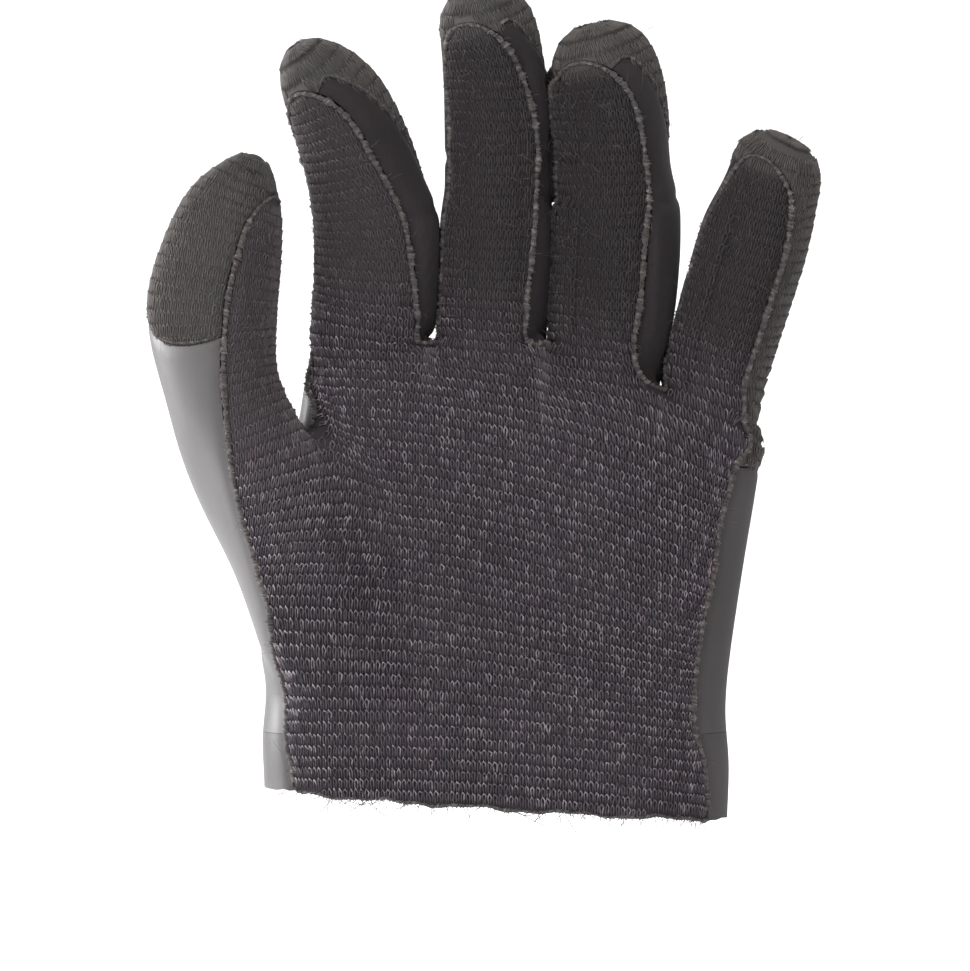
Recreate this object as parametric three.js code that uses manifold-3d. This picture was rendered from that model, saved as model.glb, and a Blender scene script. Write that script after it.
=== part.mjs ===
// Diving glove for the left hand, in the form it has when it is worn.
// Millimetres. Fingers point up (+Z), the palm faces -Y and the thumb is on the -X side.
// The origin is the middle of the wrist opening.
//
// The glove is one hollow shell: the outer form less the same form one wall further in. The shell
// is then divided into its panels by regions that follow each finger's own axis.

import * as THREE from 'three';
import { mergeVertices } from 'three/addons/utils/BufferGeometryUtils.js';
import Module from 'manifold-3d';

const wasm = await Module();
wasm.setup();

// Driving dimensions
const WALL = 3.0;              // foam rubber with its facing
const PANEL_GAP = 0.3;         // between the edges of two neighbouring panels
const PALM_LENGTH = 104;       // wrist edge to the web beside the middle finger
const WRIST_BREADTH = 104;     // across the wrist edge
const PALM_DEPTH = 47;         // palm to back of the hand, near the wrist
const KNUCKLE_DRIFT = 8;       // how far the knuckles sit towards the little finger
const WEB_DROOP = 20;          // how far the palm falls away under the little finger
const HEM_DROP = 7;            // the wrist edge is this much lower on the little finger side
const CUFF_HEIGHT = 16;        // smooth band round the back of the wrist
const SIDE_STRIP_DROP = 17;    // the little finger's side strip runs on this far below its web

// Each digit: its length above its web (the thumb's above its root), its own breadth and depth,
// the clear space between it and the digit before, how far its web lies below the highest web,
// the height of its rounded tip, how square that tip is, and the length of its fingertip cap.
const INDEX = {
  name: 'index', length: 68, breadth: 28, depth: 25.5, gap: 0, webDrop: 0,
  tipHeight: 13, tipSquare: 2.3, capLength: 30,
};
const MIDDLE = {
  name: 'middle', length: 80, breadth: 24.8, depth: 25, gap: 4.2, webDrop: 0,
  tipHeight: 12, tipSquare: 2.5, capLength: 30,
};
const RING = {
  name: 'ring', length: 78, breadth: 27.4, depth: 25.5, gap: 2.4, webDrop: 6,
  tipHeight: 12, tipSquare: 2.5, capLength: 31,
};
const LITTLE = {
  name: 'little', length: 56, breadth: 24.4, depth: 23, gap: 1.0, webDrop: 10.4,
  tipHeight: 9, tipSquare: 3.4, capLength: 26,
};
const THUMB = {
  name: 'thumb', length: 124, breadth: 29, depth: 27, rootHeight: 22, rootSide: 27, rootFront: 2,
  tipHeight: 15, tipSquare: 2.4, capLength: 33,
};

// How finely the forms are faceted
const FINGER_SIDES = 14;
const PALM_SIDES = 24;
const BODY_STEPS = 5;
const TIP_STEPS = 3;
const REGION_STEP = 12;         // height of one step of a region, mm

// Section shapes: 2 is an ellipse, more is squarer
const FINGER_SQUARE = 2.2;
const PALM_SQUARE = 2.6;

// Turns lines of numbers into rows with named columns.
function table(columns, lines) {
  return lines.map((line) => Object.fromEntries(columns.map((name, i) => [name, line[i]])));
}

// Sections of a digit, from below its web to its tip:
//   rise, drift, curl   shares of the digit's length: up, towards +X, towards the palm side
//   breadth, depth      shares of the digit's own breadth and depth
//   twist               degrees that the digit turns its little finger side to the front
//   seam                edge of the front panel, share of half the depth in front of the axis
//   rear                back edge of the side strip, share of half the depth behind the axis
const DIGIT_COLUMNS = ['rise', 'drift', 'curl', 'breadth', 'depth', 'twist', 'seam', 'rear'];
INDEX.rows = table(DIGIT_COLUMNS, [
  [-0.20, 0.000, -0.02, 0.92, 1.00, 0, 0.55, 0.55],
  [0.00, 0.000, 0.00, 0.94, 1.00, 3, 0.55, 0.55],
  [0.20, 0.027, 0.03, 0.96, 1.00, 14, 0.55, 0.55],
  [0.40, 0.033, 0.07, 1.00, 0.98, 24, 0.55, 0.55],
  [0.60, -0.008, 0.12, 0.95, 0.95, 38, 0.55, 0.50],
  [0.80, -0.078, 0.18, 0.86, 0.88, 48, 0.62, -0.05],
  [1.00, -0.195, 0.25, 0.74, 0.76, 55, 1.05, -0.95],
]);
MIDDLE.rows = table(DIGIT_COLUMNS, [
  [-0.18, -0.005, -0.02, 0.93, 1.00, 18, 0.55, 0.55],
  [0.00, 0.000, 0.00, 0.93, 1.00, 18, 0.55, 0.55],
  [0.20, 0.010, 0.02, 0.98, 1.00, 14, 0.55, 0.55],
  [0.40, 0.014, 0.05, 1.00, 0.98, 10, 0.55, 0.55],
  [0.60, 0.012, 0.09, 0.99, 0.95, 8, 0.55, 0.50],
  [0.80, 0.000, 0.14, 0.95, 0.90, 22, 0.62, -0.05],
  [1.00, -0.030, 0.20, 0.86, 0.80, 40, 1.05, -0.95],
]);
RING.rows = table(DIGIT_COLUMNS, [
  [-0.18, -0.006, -0.02, 0.84, 1.00, 26, 0.55, 0.55],
  [0.00, 0.000, 0.00, 0.88, 1.00, 27, 0.55, 0.55],
  [0.20, 0.019, 0.02, 0.99, 1.00, 27, 0.55, 0.55],
  [0.40, 0.027, 0.05, 1.02, 1.00, 27, 0.55, 0.55],
  [0.60, 0.017, 0.09, 1.00, 0.97, 22, 0.55, 0.50],
  [0.80, 0.006, 0.14, 0.96, 0.92, 30, 0.62, -0.05],
  [1.00, -0.018, 0.19, 0.85, 0.82, 46, 1.05, -0.95],
]);
LITTLE.rows = table(DIGIT_COLUMNS, [
  [-0.27, -0.040, -0.02, 0.94, 1.00, 20, 0.55, 0.55],
  [0.00, 0.000, 0.00, 0.94, 1.00, 20, 0.55, 0.55],
  [0.20, 0.052, 0.03, 0.97, 1.00, 20, 0.55, 0.55],
  [0.40, 0.108, 0.08, 1.00, 0.98, 20, 0.55, 0.55],
  [0.60, 0.170, 0.13, 0.98, 0.96, 20, 0.55, 0.50],
  [0.80, 0.230, 0.19, 0.90, 0.90, 22, 0.62, -0.05],
  [1.00, 0.285, 0.26, 0.84, 0.80, 26, 1.05, -0.95],
]);
THUMB.rows = table(DIGIT_COLUMNS, [
  [0.00, 0.000, 0.00, 1.50, 1.36, 0, 0.66, 0.55],
  [0.14, -0.077, 0.03, 1.40, 1.48, 0, 0.68, 0.55],
  [0.28, -0.157, 0.07, 1.20, 1.40, -6, 0.66, 0.55],
  [0.42, -0.234, 0.09, 1.03, 1.24, -30, 0.55, 0.55],
  [0.56, -0.284, 0.10, 0.93, 1.02, -56, 0.55, 0.55],
  [0.70, -0.306, 0.11, 0.97, 0.97, -72, 0.50, 0.50],
  [0.80, -0.302, 0.12, 1.00, 0.96, -76, 0.50, 0.00],
  [0.90, -0.281, 0.12, 0.93, 0.90, -78, 0.62, -0.50],
  [1.00, -0.225, 0.13, 0.74, 0.78, -80, 1.05, -0.95],
]);

// Sections of the palm, from the wrist edge to the webs:
//   up        share of the palm length
//   mix       0 follows the wrist breadth, 1 the knuckle breadth
//   breadth   share of that breadth
//   drift     share of the knuckle drift
//   depth     share of the palm depth
//   cup       how far the middle of the palm is pressed in, share of half the depth
//   seam      edge of the front panel, share of half the depth in front of the middle
//   droop     share of the web droop
const PALM_ROWS = table(['up', 'mix', 'breadth', 'drift', 'depth', 'cup', 'seam', 'droop'], [
  [0.00, 0.0, 0.997, 0.00, 0.98, 0.00, 0.66, 0.00],
  [0.11, 0.0, 1.025, -0.12, 1.02, 0.00, 0.62, 0.00],
  [0.22, 0.0, 1.005, -0.09, 1.00, 0.03, 0.66, 0.00],
  [0.32, 0.1, 1.010, -0.04, 0.98, 0.08, 0.66, 0.00],
  [0.52, 0.4, 1.015, 0.34, 0.92, 0.16, 0.65, 0.00],
  [0.70, 0.7, 1.028, 0.56, 0.84, 0.16, 0.58, 0.25],
  [0.84, 1.0, 1.012, 0.84, 0.75, 0.10, 0.47, 0.55],
  [0.93, 1.0, 1.002, 0.96, 0.66, 0.03, 0.43, 0.80],
  [0.98, 1.0, 0.980, 1.00, 0.55, 0.00, 0.54, 0.90],
  [1.00, 1.0, 0.920, 1.00, 0.38, 0.00, 0.78, 1.00],
]);
const DROOP_START = 0.1;       // the droop begins here, share of half the breadth
const TOP_CURVE_START = 0.85;  // above this share of its height the palm closes in

const FINGERS = [INDEX, MIDDLE, RING, LITTLE];
const DIGITS = [...FINGERS, THUMB];

// Smooth value of one column at any height of a table.
function sample(rows, key, name, at) {
  const last = rows.length - 1;
  let i = 0;
  while (i < last - 1 && at > rows[i + 1][key]) {
    i += 1;
  }
  const slope = (a, b) => (rows[b][name] - rows[a][name]) / (rows[b][key] - rows[a][key]);
  const span = rows[i + 1][key] - rows[i][key];
  const t = Math.min(Math.max((at - rows[i][key]) / span, 0), 1);
  const startSlope = slope(Math.max(i - 1, 0), i + 1) * span;
  const endSlope = slope(i, Math.min(i + 2, last)) * span;
  const t2 = t * t;
  const t3 = t2 * t;
  return rows[i][name] * (2 * t3 - 3 * t2 + 1) + startSlope * (t3 - 2 * t2 + t)
    + rows[i + 1][name] * (3 * t2 - 2 * t3) + endSlope * (t3 - t2);
}

// Breadth of a finger where it leaves its web.
function webBreadth(digit) {
  return digit.breadth * sample(digit.rows, 'rise', 'breadth', 0);
}

// The fingers stand side by side, each one gap from the one before.
const KNUCKLE_BREADTH = FINGERS.reduce((sum, digit) => sum + digit.gap + webBreadth(digit), 0);
let nextEdge = KNUCKLE_DRIFT - KNUCKLE_BREADTH / 2;
for (const digit of FINGERS) {
  nextEdge += digit.gap;
  digit.base = new THREE.Vector3(nextEdge + webBreadth(digit) / 2, 0, PALM_LENGTH - digit.webDrop);
  nextEdge += webBreadth(digit);
}
THUMB.base = new THREE.Vector3(-THUMB.rootSide, -THUMB.rootFront, THUMB.rootHeight);

// Middle of a digit at a rise.
function digitCentre(digit, rise) {
  const drift = sample(digit.rows, 'rise', 'drift', rise);
  const curl = sample(digit.rows, 'rise', 'curl', rise);
  return new THREE.Vector3(drift, -curl, rise).multiplyScalar(digit.length).add(digit.base);
}

// The digit's own frame at a rise: its middle, the side towards the little finger, the back of
// the hand, and its half breadth and half depth.
const SLOPE_STEP = 0.02;
function digitFrame(digit, rise) {
  const ahead = Math.min(rise + SLOPE_STEP, 1);
  const before = ahead - 2 * SLOPE_STEP;
  const along = digitCentre(digit, ahead).sub(digitCentre(digit, before)).normalize();
  const level = new THREE.Vector3(0, 1, 0).cross(along).normalize();
  const behind = along.clone().cross(level);
  const twist = THREE.MathUtils.degToRad(sample(digit.rows, 'rise', 'twist', rise));
  return {
    rise,
    centre: digitCentre(digit, rise),
    along,
    level,
    behind,
    twist,
    side: level.clone().multiplyScalar(Math.cos(twist)).addScaledVector(behind, -Math.sin(twist)),
    back: level.clone().multiplyScalar(Math.sin(twist)).addScaledVector(behind, Math.cos(twist)),
    halfBreadth: digit.breadth * sample(digit.rows, 'rise', 'breadth', rise) / 2,
    halfDepth: digit.depth * sample(digit.rows, 'rise', 'depth', rise) / 2,
    seam: sample(digit.rows, 'rise', 'seam', rise),
    rear: sample(digit.rows, 'rise', 'rear', rise),
  };
}

function framePoint(frame, sideways, backwards) {
  return frame.centre.clone()
    .addScaledVector(frame.side, sideways)
    .addScaledVector(frame.back, backwards);
}

// Points round a section with rounded corners. The corners turn with the section's twist, and the
// points don't, so that the facets run straight up a twisted finger.
function section(frame, sides, square, across, deep) {
  return Array.from({ length: sides }, (_, i) => {
    const angle = 2 * Math.PI * i / sides;
    const own = angle + frame.twist;
    const nearness = Math.abs(Math.cos(own) / across) ** square + Math.abs(Math.sin(own) / deep) ** square;
    const radius = nearness ** (-1 / square);
    return frame.centre.clone()
      .addScaledVector(frame.level, radius * Math.cos(angle))
      .addScaledVector(frame.behind, radius * Math.sin(angle));
  });
}

// Closed solid through rings of points, each ring once round, lowest ring first. Joins and cuts
// close up edges shorter than SMALLEST_EDGE.
const SMALLEST_EDGE = 0.02;
function loft(rings) {
  const sides = rings[0].length;
  const points = rings.flat();
  const bottom = points.length;
  const top = bottom + 1;
  const middleOf = (ring) => ring.reduce((sum, p) => sum.add(p), new THREE.Vector3()).divideScalar(sides);
  points.push(middleOf(rings[0]), middleOf(rings[rings.length - 1]));
  const faces = [];
  for (let i = 0; i < sides; i += 1) {
    const next = (i + 1) % sides;
    for (let ring = 0; ring < rings.length - 1; ring += 1) {
      const low = ring * sides;
      const high = low + sides;
      faces.push(low + i, low + next, high + next);
      faces.push(low + i, high + next, high + i);
    }
    const lastRing = (rings.length - 1) * sides;
    faces.push(bottom, next, i);
    faces.push(top, lastRing + i, lastRing + next);
  }
  return new wasm.Manifold(new wasm.Mesh({
    numProp: 3,
    vertProperties: new Float32Array(points.flatMap((p) => [p.x, p.y, p.z])),
    triVerts: new Uint32Array(faces),
    tolerance: SMALLEST_EDGE,
  }));
}

function joined(solids) {
  return solids.reduce((sum, solid) => sum.add(solid));
}

// A digit's form, drawn in by an inset all round and at its tip. The tip ends in a small flat.
const TIP_FLAT = 0.2;
function digitSolid(digit, inset) {
  const first = digit.rows[0].rise;
  const tipEnd = 1 - inset / digit.length;
  const tipStart = 1 - digit.tipHeight / digit.length;
  const stations = [];
  for (let i = 0; i <= BODY_STEPS; i += 1) {
    stations.push({ rise: first + (tipStart - first) * i / BODY_STEPS, size: 1 });
  }
  for (let i = 1; i <= TIP_STEPS; i += 1) {
    const share = Math.sin(Math.PI / 2 * i / TIP_STEPS);
    const size = (1 - share ** digit.tipSquare) ** (1 / digit.tipSquare);
    stations.push({ rise: tipStart + (tipEnd - tipStart) * share, size: Math.max(size, TIP_FLAT) });
  }
  return loft(stations.map(({ rise, size }) => {
    const frame = digitFrame(digit, rise);
    const across = (frame.halfBreadth - inset) * size;
    const deep = (frame.halfDepth - inset) * size;
    return section(frame, FINGER_SIDES, FINGER_SQUARE, across, deep);
  }));
}

// Height, middle and half sizes of the palm at a share of its height.
function palmFrame(up) {
  const value = (name) => sample(PALM_ROWS, 'up', name, up);
  const follow = WRIST_BREADTH + (KNUCKLE_BREADTH - WRIST_BREADTH) * value('mix');
  return {
    up,
    centre: KNUCKLE_DRIFT * value('drift'),
    halfBreadth: follow * value('breadth') / 2,
    halfDepth: PALM_DEPTH * value('depth') / 2,
    cup: value('cup'),
    seam: value('seam'),
    droop: value('droop'),
  };
}

// Height of a palm section at a place across it, -1 at the thumb side to 1.
function palmHeight(frame, across) {
  const beyond = Math.max(0, across - DROOP_START) / (1 - DROOP_START);
  const hem = HEM_DROP / 2 * across * Math.max(0, 1 - frame.up / TOP_CURVE_START);
  return PALM_LENGTH * frame.up - WEB_DROOP * frame.droop * beyond - hem;
}

// Closed outline of half breadth 1 and half depth 1 with rounded corners, once round from +X.
function palmOutline() {
  const power = 2 / PALM_SQUARE;
  const eased = (value) => Math.sign(value) * Math.abs(value) ** power;
  return Array.from({ length: PALM_SIDES }, (_, i) => {
    const angle = 2 * Math.PI * i / PALM_SIDES;
    return [eased(Math.cos(angle)), eased(Math.sin(angle))];
  });
}

// The palm's form, drawn in by an inset. A hollow runs on past the wrist edge by some insets.
const MOUTH_CUT = 2;
function palmSolid(inset) {
  const outline = palmOutline();
  return loft(PALM_ROWS.map(({ up }) => {
    const frame = palmFrame(up);
    const closing = Math.max(0, (up - TOP_CURVE_START) / (1 - TOP_CURVE_START));
    const lift = up === 0 ? -MOUTH_CUT * inset : -inset * closing;
    return outline.map(([u, v]) => {
      const pressed = v < 0 ? 1 - frame.cup * (1 - u * u) ** 2 : 1;
      return new THREE.Vector3(
        frame.centre + u * (frame.halfBreadth - inset),
        v * (frame.halfDepth - inset) * pressed,
        palmHeight(frame, u) + lift,
      );
    });
  }));
}

// A block that follows a digit from one rise to another. edges(frame) gives its sides as lengths
// in the digit's own frame: [left, right, front, back].
function digitRegion(digit, from, to, edges) {
  const rings = [];
  const steps = Math.ceil((to - from) * digit.length / REGION_STEP);
  for (let i = 0; i <= steps; i += 1) {
    const frame = digitFrame(digit, from + (to - from) * i / steps);
    const [left, right, front, back] = edges(frame);
    rings.push([
      framePoint(frame, left, front),
      framePoint(frame, right, front),
      framePoint(frame, right, back),
      framePoint(frame, left, back),
    ]);
  }
  return loft(rings);
}

const CLEAR = 1.5;             // regions reach past the surface by this share of the half size

// What lies in front of a digit's seam. Below the thumb's web it reaches over to the palm.
const PALM_REACH = 2.2;
const THUMB_WEB = 0.5;
function digitFront(digit, grow) {
  const from = digit.rows[0].rise - grow / digit.length;
  return digitRegion(digit, from, 1, (frame) => [
    -CLEAR * frame.halfBreadth - grow,
    CLEAR * frame.halfBreadth + grow,
    -(digit === THUMB && frame.rise < THUMB_WEB ? PALM_REACH : CLEAR) * frame.halfDepth - grow,
    -frame.seam * frame.halfDepth + grow,
  ]);
}

// What lies in front of the palm's seam. Beside the thumb it stops short, and the thumb's own
// seam bounds the front panel.
const THUMB_START = 0.25;
const THUMB_LIMIT = 0.97;
function palmFront(grow) {
  return loft(PALM_ROWS.map(({ up }) => {
    const frame = palmFrame(up);
    const leftReach = up > THUMB_START ? THUMB_LIMIT : CLEAR;
    const left = frame.centre - leftReach * frame.halfBreadth - grow;
    const right = frame.centre + CLEAR * frame.halfBreadth + grow;
    const front = -CLEAR * PALM_DEPTH - grow;
    const back = -frame.seam * frame.halfDepth + grow;
    const lift = up === 0 ? -CLEAR * HEM_DROP - grow : 0;
    const leftHeight = palmHeight(frame, -1) + lift;
    const rightHeight = palmHeight(frame, 1) + lift;
    return [
      new THREE.Vector3(left, front, leftHeight),
      new THREE.Vector3(right, front, rightHeight),
      new THREE.Vector3(right, back, rightHeight),
      new THREE.Vector3(left, back, leftHeight),
    ];
  }));
}

// The strip down one side of a finger: side is 1 towards the little finger, -1 towards the thumb.
// It narrows to a point near the tip. A wide strip reaches forward past the seam.
const STRIP_TOP = 0.94;
const STRIP_INNER = 0.2;
const STRIP_POINT = 0.02;
function sideStrip(digit, side, reach, drop, grow, wide = false) {
  const from = -(drop + grow) / digit.length;
  return digitRegion(digit, from, STRIP_TOP + grow / digit.length, (frame) => {
    const inner = side * (STRIP_INNER * frame.halfBreadth - grow);
    const outer = side * (frame.halfBreadth + reach + grow);
    const front = -(wide ? CLEAR : frame.seam) * frame.halfDepth - grow;
    const back = Math.max(frame.rear, STRIP_POINT - frame.seam) * frame.halfDepth + grow;
    return side > 0 ? [inner, outer, front, back] : [outer, inner, front, back];
  });
}

// The strip between two fingers: down one, through the web, and up the other.
const WEB_STRIP_DROP = 9;
const MEET = 0.1;
function fourchetteRegion(first, second, grow) {
  const reach = second.gap / 2 + MEET;
  return joined([
    sideStrip(first, 1, reach, WEB_STRIP_DROP, grow),
    sideStrip(second, -1, reach, WEB_STRIP_DROP, grow),
  ]);
}

// The part of a digit above its cap's lower edge, which dips down at both sides.
const CAP_DIP = 0.3;
const CAP_STEPS = 4;
function capRegion(digit, grow) {
  const start = 1 - (digit.capLength + grow) / digit.length;
  const dip = CAP_DIP * digit.capLength / digit.length;
  const corners = [[-1, -1], [0, -1], [1, -1], [1, 1], [0, 1], [-1, 1]];
  const rings = [];
  for (let i = 0; i <= CAP_STEPS; i += 1) {
    const share = i / CAP_STEPS;
    rings.push(corners.map(([u, v]) => {
      const edge = start - dip * Math.abs(u) * CLEAR;
      const frame = digitFrame(digit, Math.min(edge + (1 - edge) * share, 1));
      const point = framePoint(frame, u * CLEAR * frame.halfBreadth, v * CLEAR * frame.halfDepth);
      return i === CAP_STEPS ? point.addScaledVector(frame.along, digit.tipHeight) : point;
    }));
  }
  return loft(rings);
}

// Everything below the cuff band's upper edge.
function cuffRegion(grow) {
  const reach = CLEAR * Math.max(WRIST_BREADTH, KNUCKLE_BREADTH) / 2;
  const depth = CLEAR * PALM_DEPTH;
  const ring = (z) => [
    new THREE.Vector3(-reach, -depth, z),
    new THREE.Vector3(reach, -depth, z),
    new THREE.Vector3(reach, depth, z),
    new THREE.Vector3(-reach, depth, z),
  ];
  return loft([ring(-CLEAR * HEM_DROP - WALL), ring(CUFF_HEIGHT + grow)]);
}

// A solid less a region and the gap round that region.
function without(solid, region) {
  return solid.subtract(region(0).add(region(PANEL_GAP)));
}

// The hollow shell
const outer = joined([palmSolid(0), ...DIGITS.map((digit) => digitSolid(digit, 0))]);
const hollow = joined([palmSolid(WALL), ...DIGITS.map((digit) => digitSolid(digit, WALL))]);
const shell = outer.subtract(hollow);

// The panels
const frontRegion = (grow) => joined([
  palmFront(grow),
  ...DIGITS.map((digit) => digitFront(digit, grow)),
]);
const neighbours = [[INDEX, MIDDLE], [MIDDLE, RING], [RING, LITTLE]];
const stripRegion = (grow) => joined(neighbours.map(([a, b]) => fourchetteRegion(a, b, grow)));
const fourchettes = neighbours.map(([a, b]) => shell.intersect(fourchetteRegion(a, b, 0)));
const panels = without(shell, stripRegion);
const palmPanel = panels.intersect(frontRegion(0));
const behind = without(panels, frontRegion);

const LITTLE_REACH = 4;
const capShape = (digit, grow) => (
  digit === LITTLE
    ? capRegion(digit, grow).add(sideStrip(digit, 1, LITTLE_REACH, SIDE_STRIP_DROP, grow, true))
    : capRegion(digit, grow)
);
const caps = DIGITS.map((digit) => behind.intersect(capShape(digit, 0)));
const uncapped = without(behind, (grow) => joined(DIGITS.map((digit) => capShape(digit, grow))));
const cuffBand = uncapped.intersect(cuffRegion(0));
const backPanel = without(uncapped, cuffRegion);

// Facings
const knit = { color: 0x4a4548, roughness: 0.95, metalness: 0 };
const tipKnit = { color: 0x45423f, roughness: 0.95, metalness: 0 };
const smoothSkin = { color: 0x2e2c2f, roughness: 0.45, metalness: 0 };
const stretchCloth = { color: 0x302c2e, roughness: 0.8, metalness: 0 };

// The panel itself, without the specks that a cut leaves at a corner.
function mainBody(solid) {
  return solid.decompose().reduce((best, body) => (body.volume() > best.volume() ? body : best));
}

// A mesh of one panel, with corners that a cut left closer together than MERGE made into one.
const MERGE = 0.002;
function piece(name, solid, facing) {
  const mesh = mainBody(solid).getMesh();
  const raw = new THREE.BufferGeometry();
  raw.setAttribute('position', new THREE.BufferAttribute(new Float32Array(mesh.vertProperties), 3));
  raw.setIndex(new THREE.BufferAttribute(new Uint32Array(mesh.triVerts), 1));
  const geometry = mergeVertices(raw, MERGE);
  const corners = geometry.index.array;
  const kept = [];
  for (let i = 0; i < corners.length; i += 3) {
    const [a, b, c] = corners.slice(i, i + 3);
    if (a !== b && b !== c && c !== a) {
      kept.push(a, b, c);
    }
  }
  geometry.setIndex(kept);
  const result = new THREE.Mesh(geometry, new THREE.MeshStandardMaterial(facing));
  result.name = name;
  return result;
}

const glove = new THREE.Group();
glove.add(piece('palm_panel', palmPanel, knit));
glove.add(piece('back_panel', backPanel, smoothSkin));
glove.add(piece('cuff_band', cuffBand, smoothSkin));
neighbours.forEach(([a, b], i) => {
  glove.add(piece(`${a.name}_${b.name}_fourchette`, fourchettes[i], stretchCloth));
});
DIGITS.forEach((digit, i) => {
  glove.add(piece(`${digit.name}_cap`, caps[i], tipKnit));
});

export default glove;
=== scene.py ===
"""Diving glove for the left hand, worn form, palm to the camera.

The forms are lofts through tables of sections like the frame's, drawn in by the height of the yarn
that stands on them. Lengths are millimetres until a mesh is made, and metres after that. The knit,
the seams and the raw edge are geometry, and each panel is a closed shell as thick as the foam.
"""

import math

import bpy
import numpy as np
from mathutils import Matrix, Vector
from mathutils.kdtree import KDTree


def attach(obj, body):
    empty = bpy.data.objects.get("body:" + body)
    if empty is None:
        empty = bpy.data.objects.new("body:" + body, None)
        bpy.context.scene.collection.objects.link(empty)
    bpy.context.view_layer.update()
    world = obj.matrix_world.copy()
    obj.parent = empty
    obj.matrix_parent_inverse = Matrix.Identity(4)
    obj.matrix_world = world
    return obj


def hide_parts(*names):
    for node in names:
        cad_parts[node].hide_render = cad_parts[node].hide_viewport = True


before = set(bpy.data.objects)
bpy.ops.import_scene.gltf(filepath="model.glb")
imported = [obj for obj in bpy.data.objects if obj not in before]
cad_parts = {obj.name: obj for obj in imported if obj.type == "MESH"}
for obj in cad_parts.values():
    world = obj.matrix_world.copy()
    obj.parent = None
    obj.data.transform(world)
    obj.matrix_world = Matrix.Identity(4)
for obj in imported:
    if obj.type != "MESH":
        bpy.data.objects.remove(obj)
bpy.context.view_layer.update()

MM = 0.001
SEED = 11
rng = np.random.default_rng(SEED)

# Driving dimensions
WALL = 3.0
HALF_GAP = 0.15
PALM_LENGTH = 104.0
WRIST_BREADTH = 104.0
PALM_DEPTH = 47.0
KNUCKLE_DRIFT = 8.0
WEB_DROOP = 20.0
HEM_DROP = 7.0
CUFF_HEIGHT = 16.0
SIDE_STRIP_DROP = 17.0
WEB_STRIP_DROP = 9.0
FINGER_SQUARE = 2.2
PALM_SQUARE = 2.6
DROOP_START = 0.1
TOP_CURVE_START = 0.85
PALM_REACH = 2.2
THUMB_WEB = 0.5
THUMB_START = 0.25
THUMB_LIMIT = 0.97
STRIP_INNER = 0.2
STRIP_TOP = 0.94
STRIP_NARROWING = 0.82
STRIP_POINT = 0.02
CAP_DIP = 0.3
CLEAR = 1.5

# Fineness of the surface
VOXEL = 0.8
HEM_EXTRA = 8.0
SMOOTHING = 8
WEB_SMOOTHING = 30
PALM_SMOOTHING = 110
SMOOTHING_SHARE = 0.5
PALM_FILL = (PALM_LENGTH - 12, PALM_LENGTH - 30)

# Knit: distance between columns and between rows, and the yarn's radius
COLUMN = 1.18
ROW = 2.4
YARN = 0.2
DIGIT_INSET = 0.7
PALM_INSET = 0.4


SEAM_SHARE = 0.55


def table(columns, lines):
    """Rows of numbers as one array for each named column. What a row leaves out is SEAM_SHARE."""
    values = np.array([line + [SEAM_SHARE] * (len(columns) - len(line)) for line in lines], dtype=float)
    return {name: values[:, i] for i, name in enumerate(columns)}


# A digit's shade is painted light: it brightens or darkens the digit's knit as light falls on it,
# lightest on the thumb and the index. Drift and curl are shares of its length, the seam and the rear
# edge are shares of its half depth, and the twist is in degrees.
DIGIT_COLUMNS = ["rise", "drift", "curl", "breadth", "depth", "twist", "seam", "rear"]
INDEX = {
    "name": "index", "tone_and_painted_light": 1.75, "length": 66.2, "breadth": 28.0, "depth": 25.5,
    "gap": 0.0, "web_drop": 0.0, "tip_height": 13.0, "tip_square": 2.3, "cap_length": 30.0,
    "rows": table(DIGIT_COLUMNS, [
        [-0.20, 0.000, -0.02, 0.92, 1.00, 0],
        [0.00, 0.006, 0.00, 0.94, 1.00, 3],
        [0.10, 0.028, 0.01, 1.01, 1.00, 8],
        [0.20, 0.040, 0.03, 1.03, 1.00, 14],
        [0.40, 0.037, 0.07, 1.03, 0.98, 24],
        [0.60, -0.008, 0.12, 0.95, 0.95, 38, 0.55, 0.50],
        [0.80, -0.088, 0.18, 0.84, 0.88, 48, 0.62, -0.05],
        [1.00, -0.236, 0.25, 0.63, 0.70, 55, 1.05, -0.95],
    ]),
}
MIDDLE = {
    "name": "middle", "tone_and_painted_light": 1.08, "length": 80.0, "breadth": 24.8, "depth": 25.0,
    "gap": 4.2, "web_drop": 0.0, "tip_height": 12.0, "tip_square": 2.3, "cap_length": 30.0,
    "rows": table(DIGIT_COLUMNS, [
        [-0.18, -0.005, -0.02, 0.93, 1.00, 18],
        [0.00, 0.000, 0.00, 0.93, 1.00, 18],
        [0.20, 0.010, 0.02, 0.98, 1.00, 14],
        [0.40, 0.014, 0.05, 1.00, 0.98, 10],
        [0.60, 0.012, 0.09, 0.99, 0.95, 8, 0.55, 0.50],
        [0.80, 0.000, 0.14, 0.95, 0.90, 22, 0.62, -0.05],
        [1.00, -0.044, 0.20, 0.86, 0.80, 40, 1.05, -0.95],
    ]),
}
RING = {
    "name": "ring", "tone_and_painted_light": 0.92, "length": 77.2, "breadth": 27.4, "depth": 25.5,
    "gap": 2.4, "web_drop": 6.0, "tip_height": 12.0, "tip_square": 2.5, "cap_length": 31.0,
    "rows": table(DIGIT_COLUMNS, [
        [-0.18, -0.006, -0.02, 0.84, 1.00, 26],
        [0.00, 0.000, 0.00, 0.88, 1.00, 27],
        [0.20, 0.019, 0.02, 0.99, 1.00, 27],
        [0.40, 0.027, 0.05, 1.02, 1.00, 27],
        [0.60, 0.017, 0.09, 1.00, 0.97, 22, 0.55, 0.50],
        [0.80, 0.004, 0.14, 0.96, 0.92, 30, 0.62, -0.05],
        [1.00, -0.048, 0.19, 0.86, 0.82, 46, 1.05, -0.95],
    ]),
}
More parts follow.
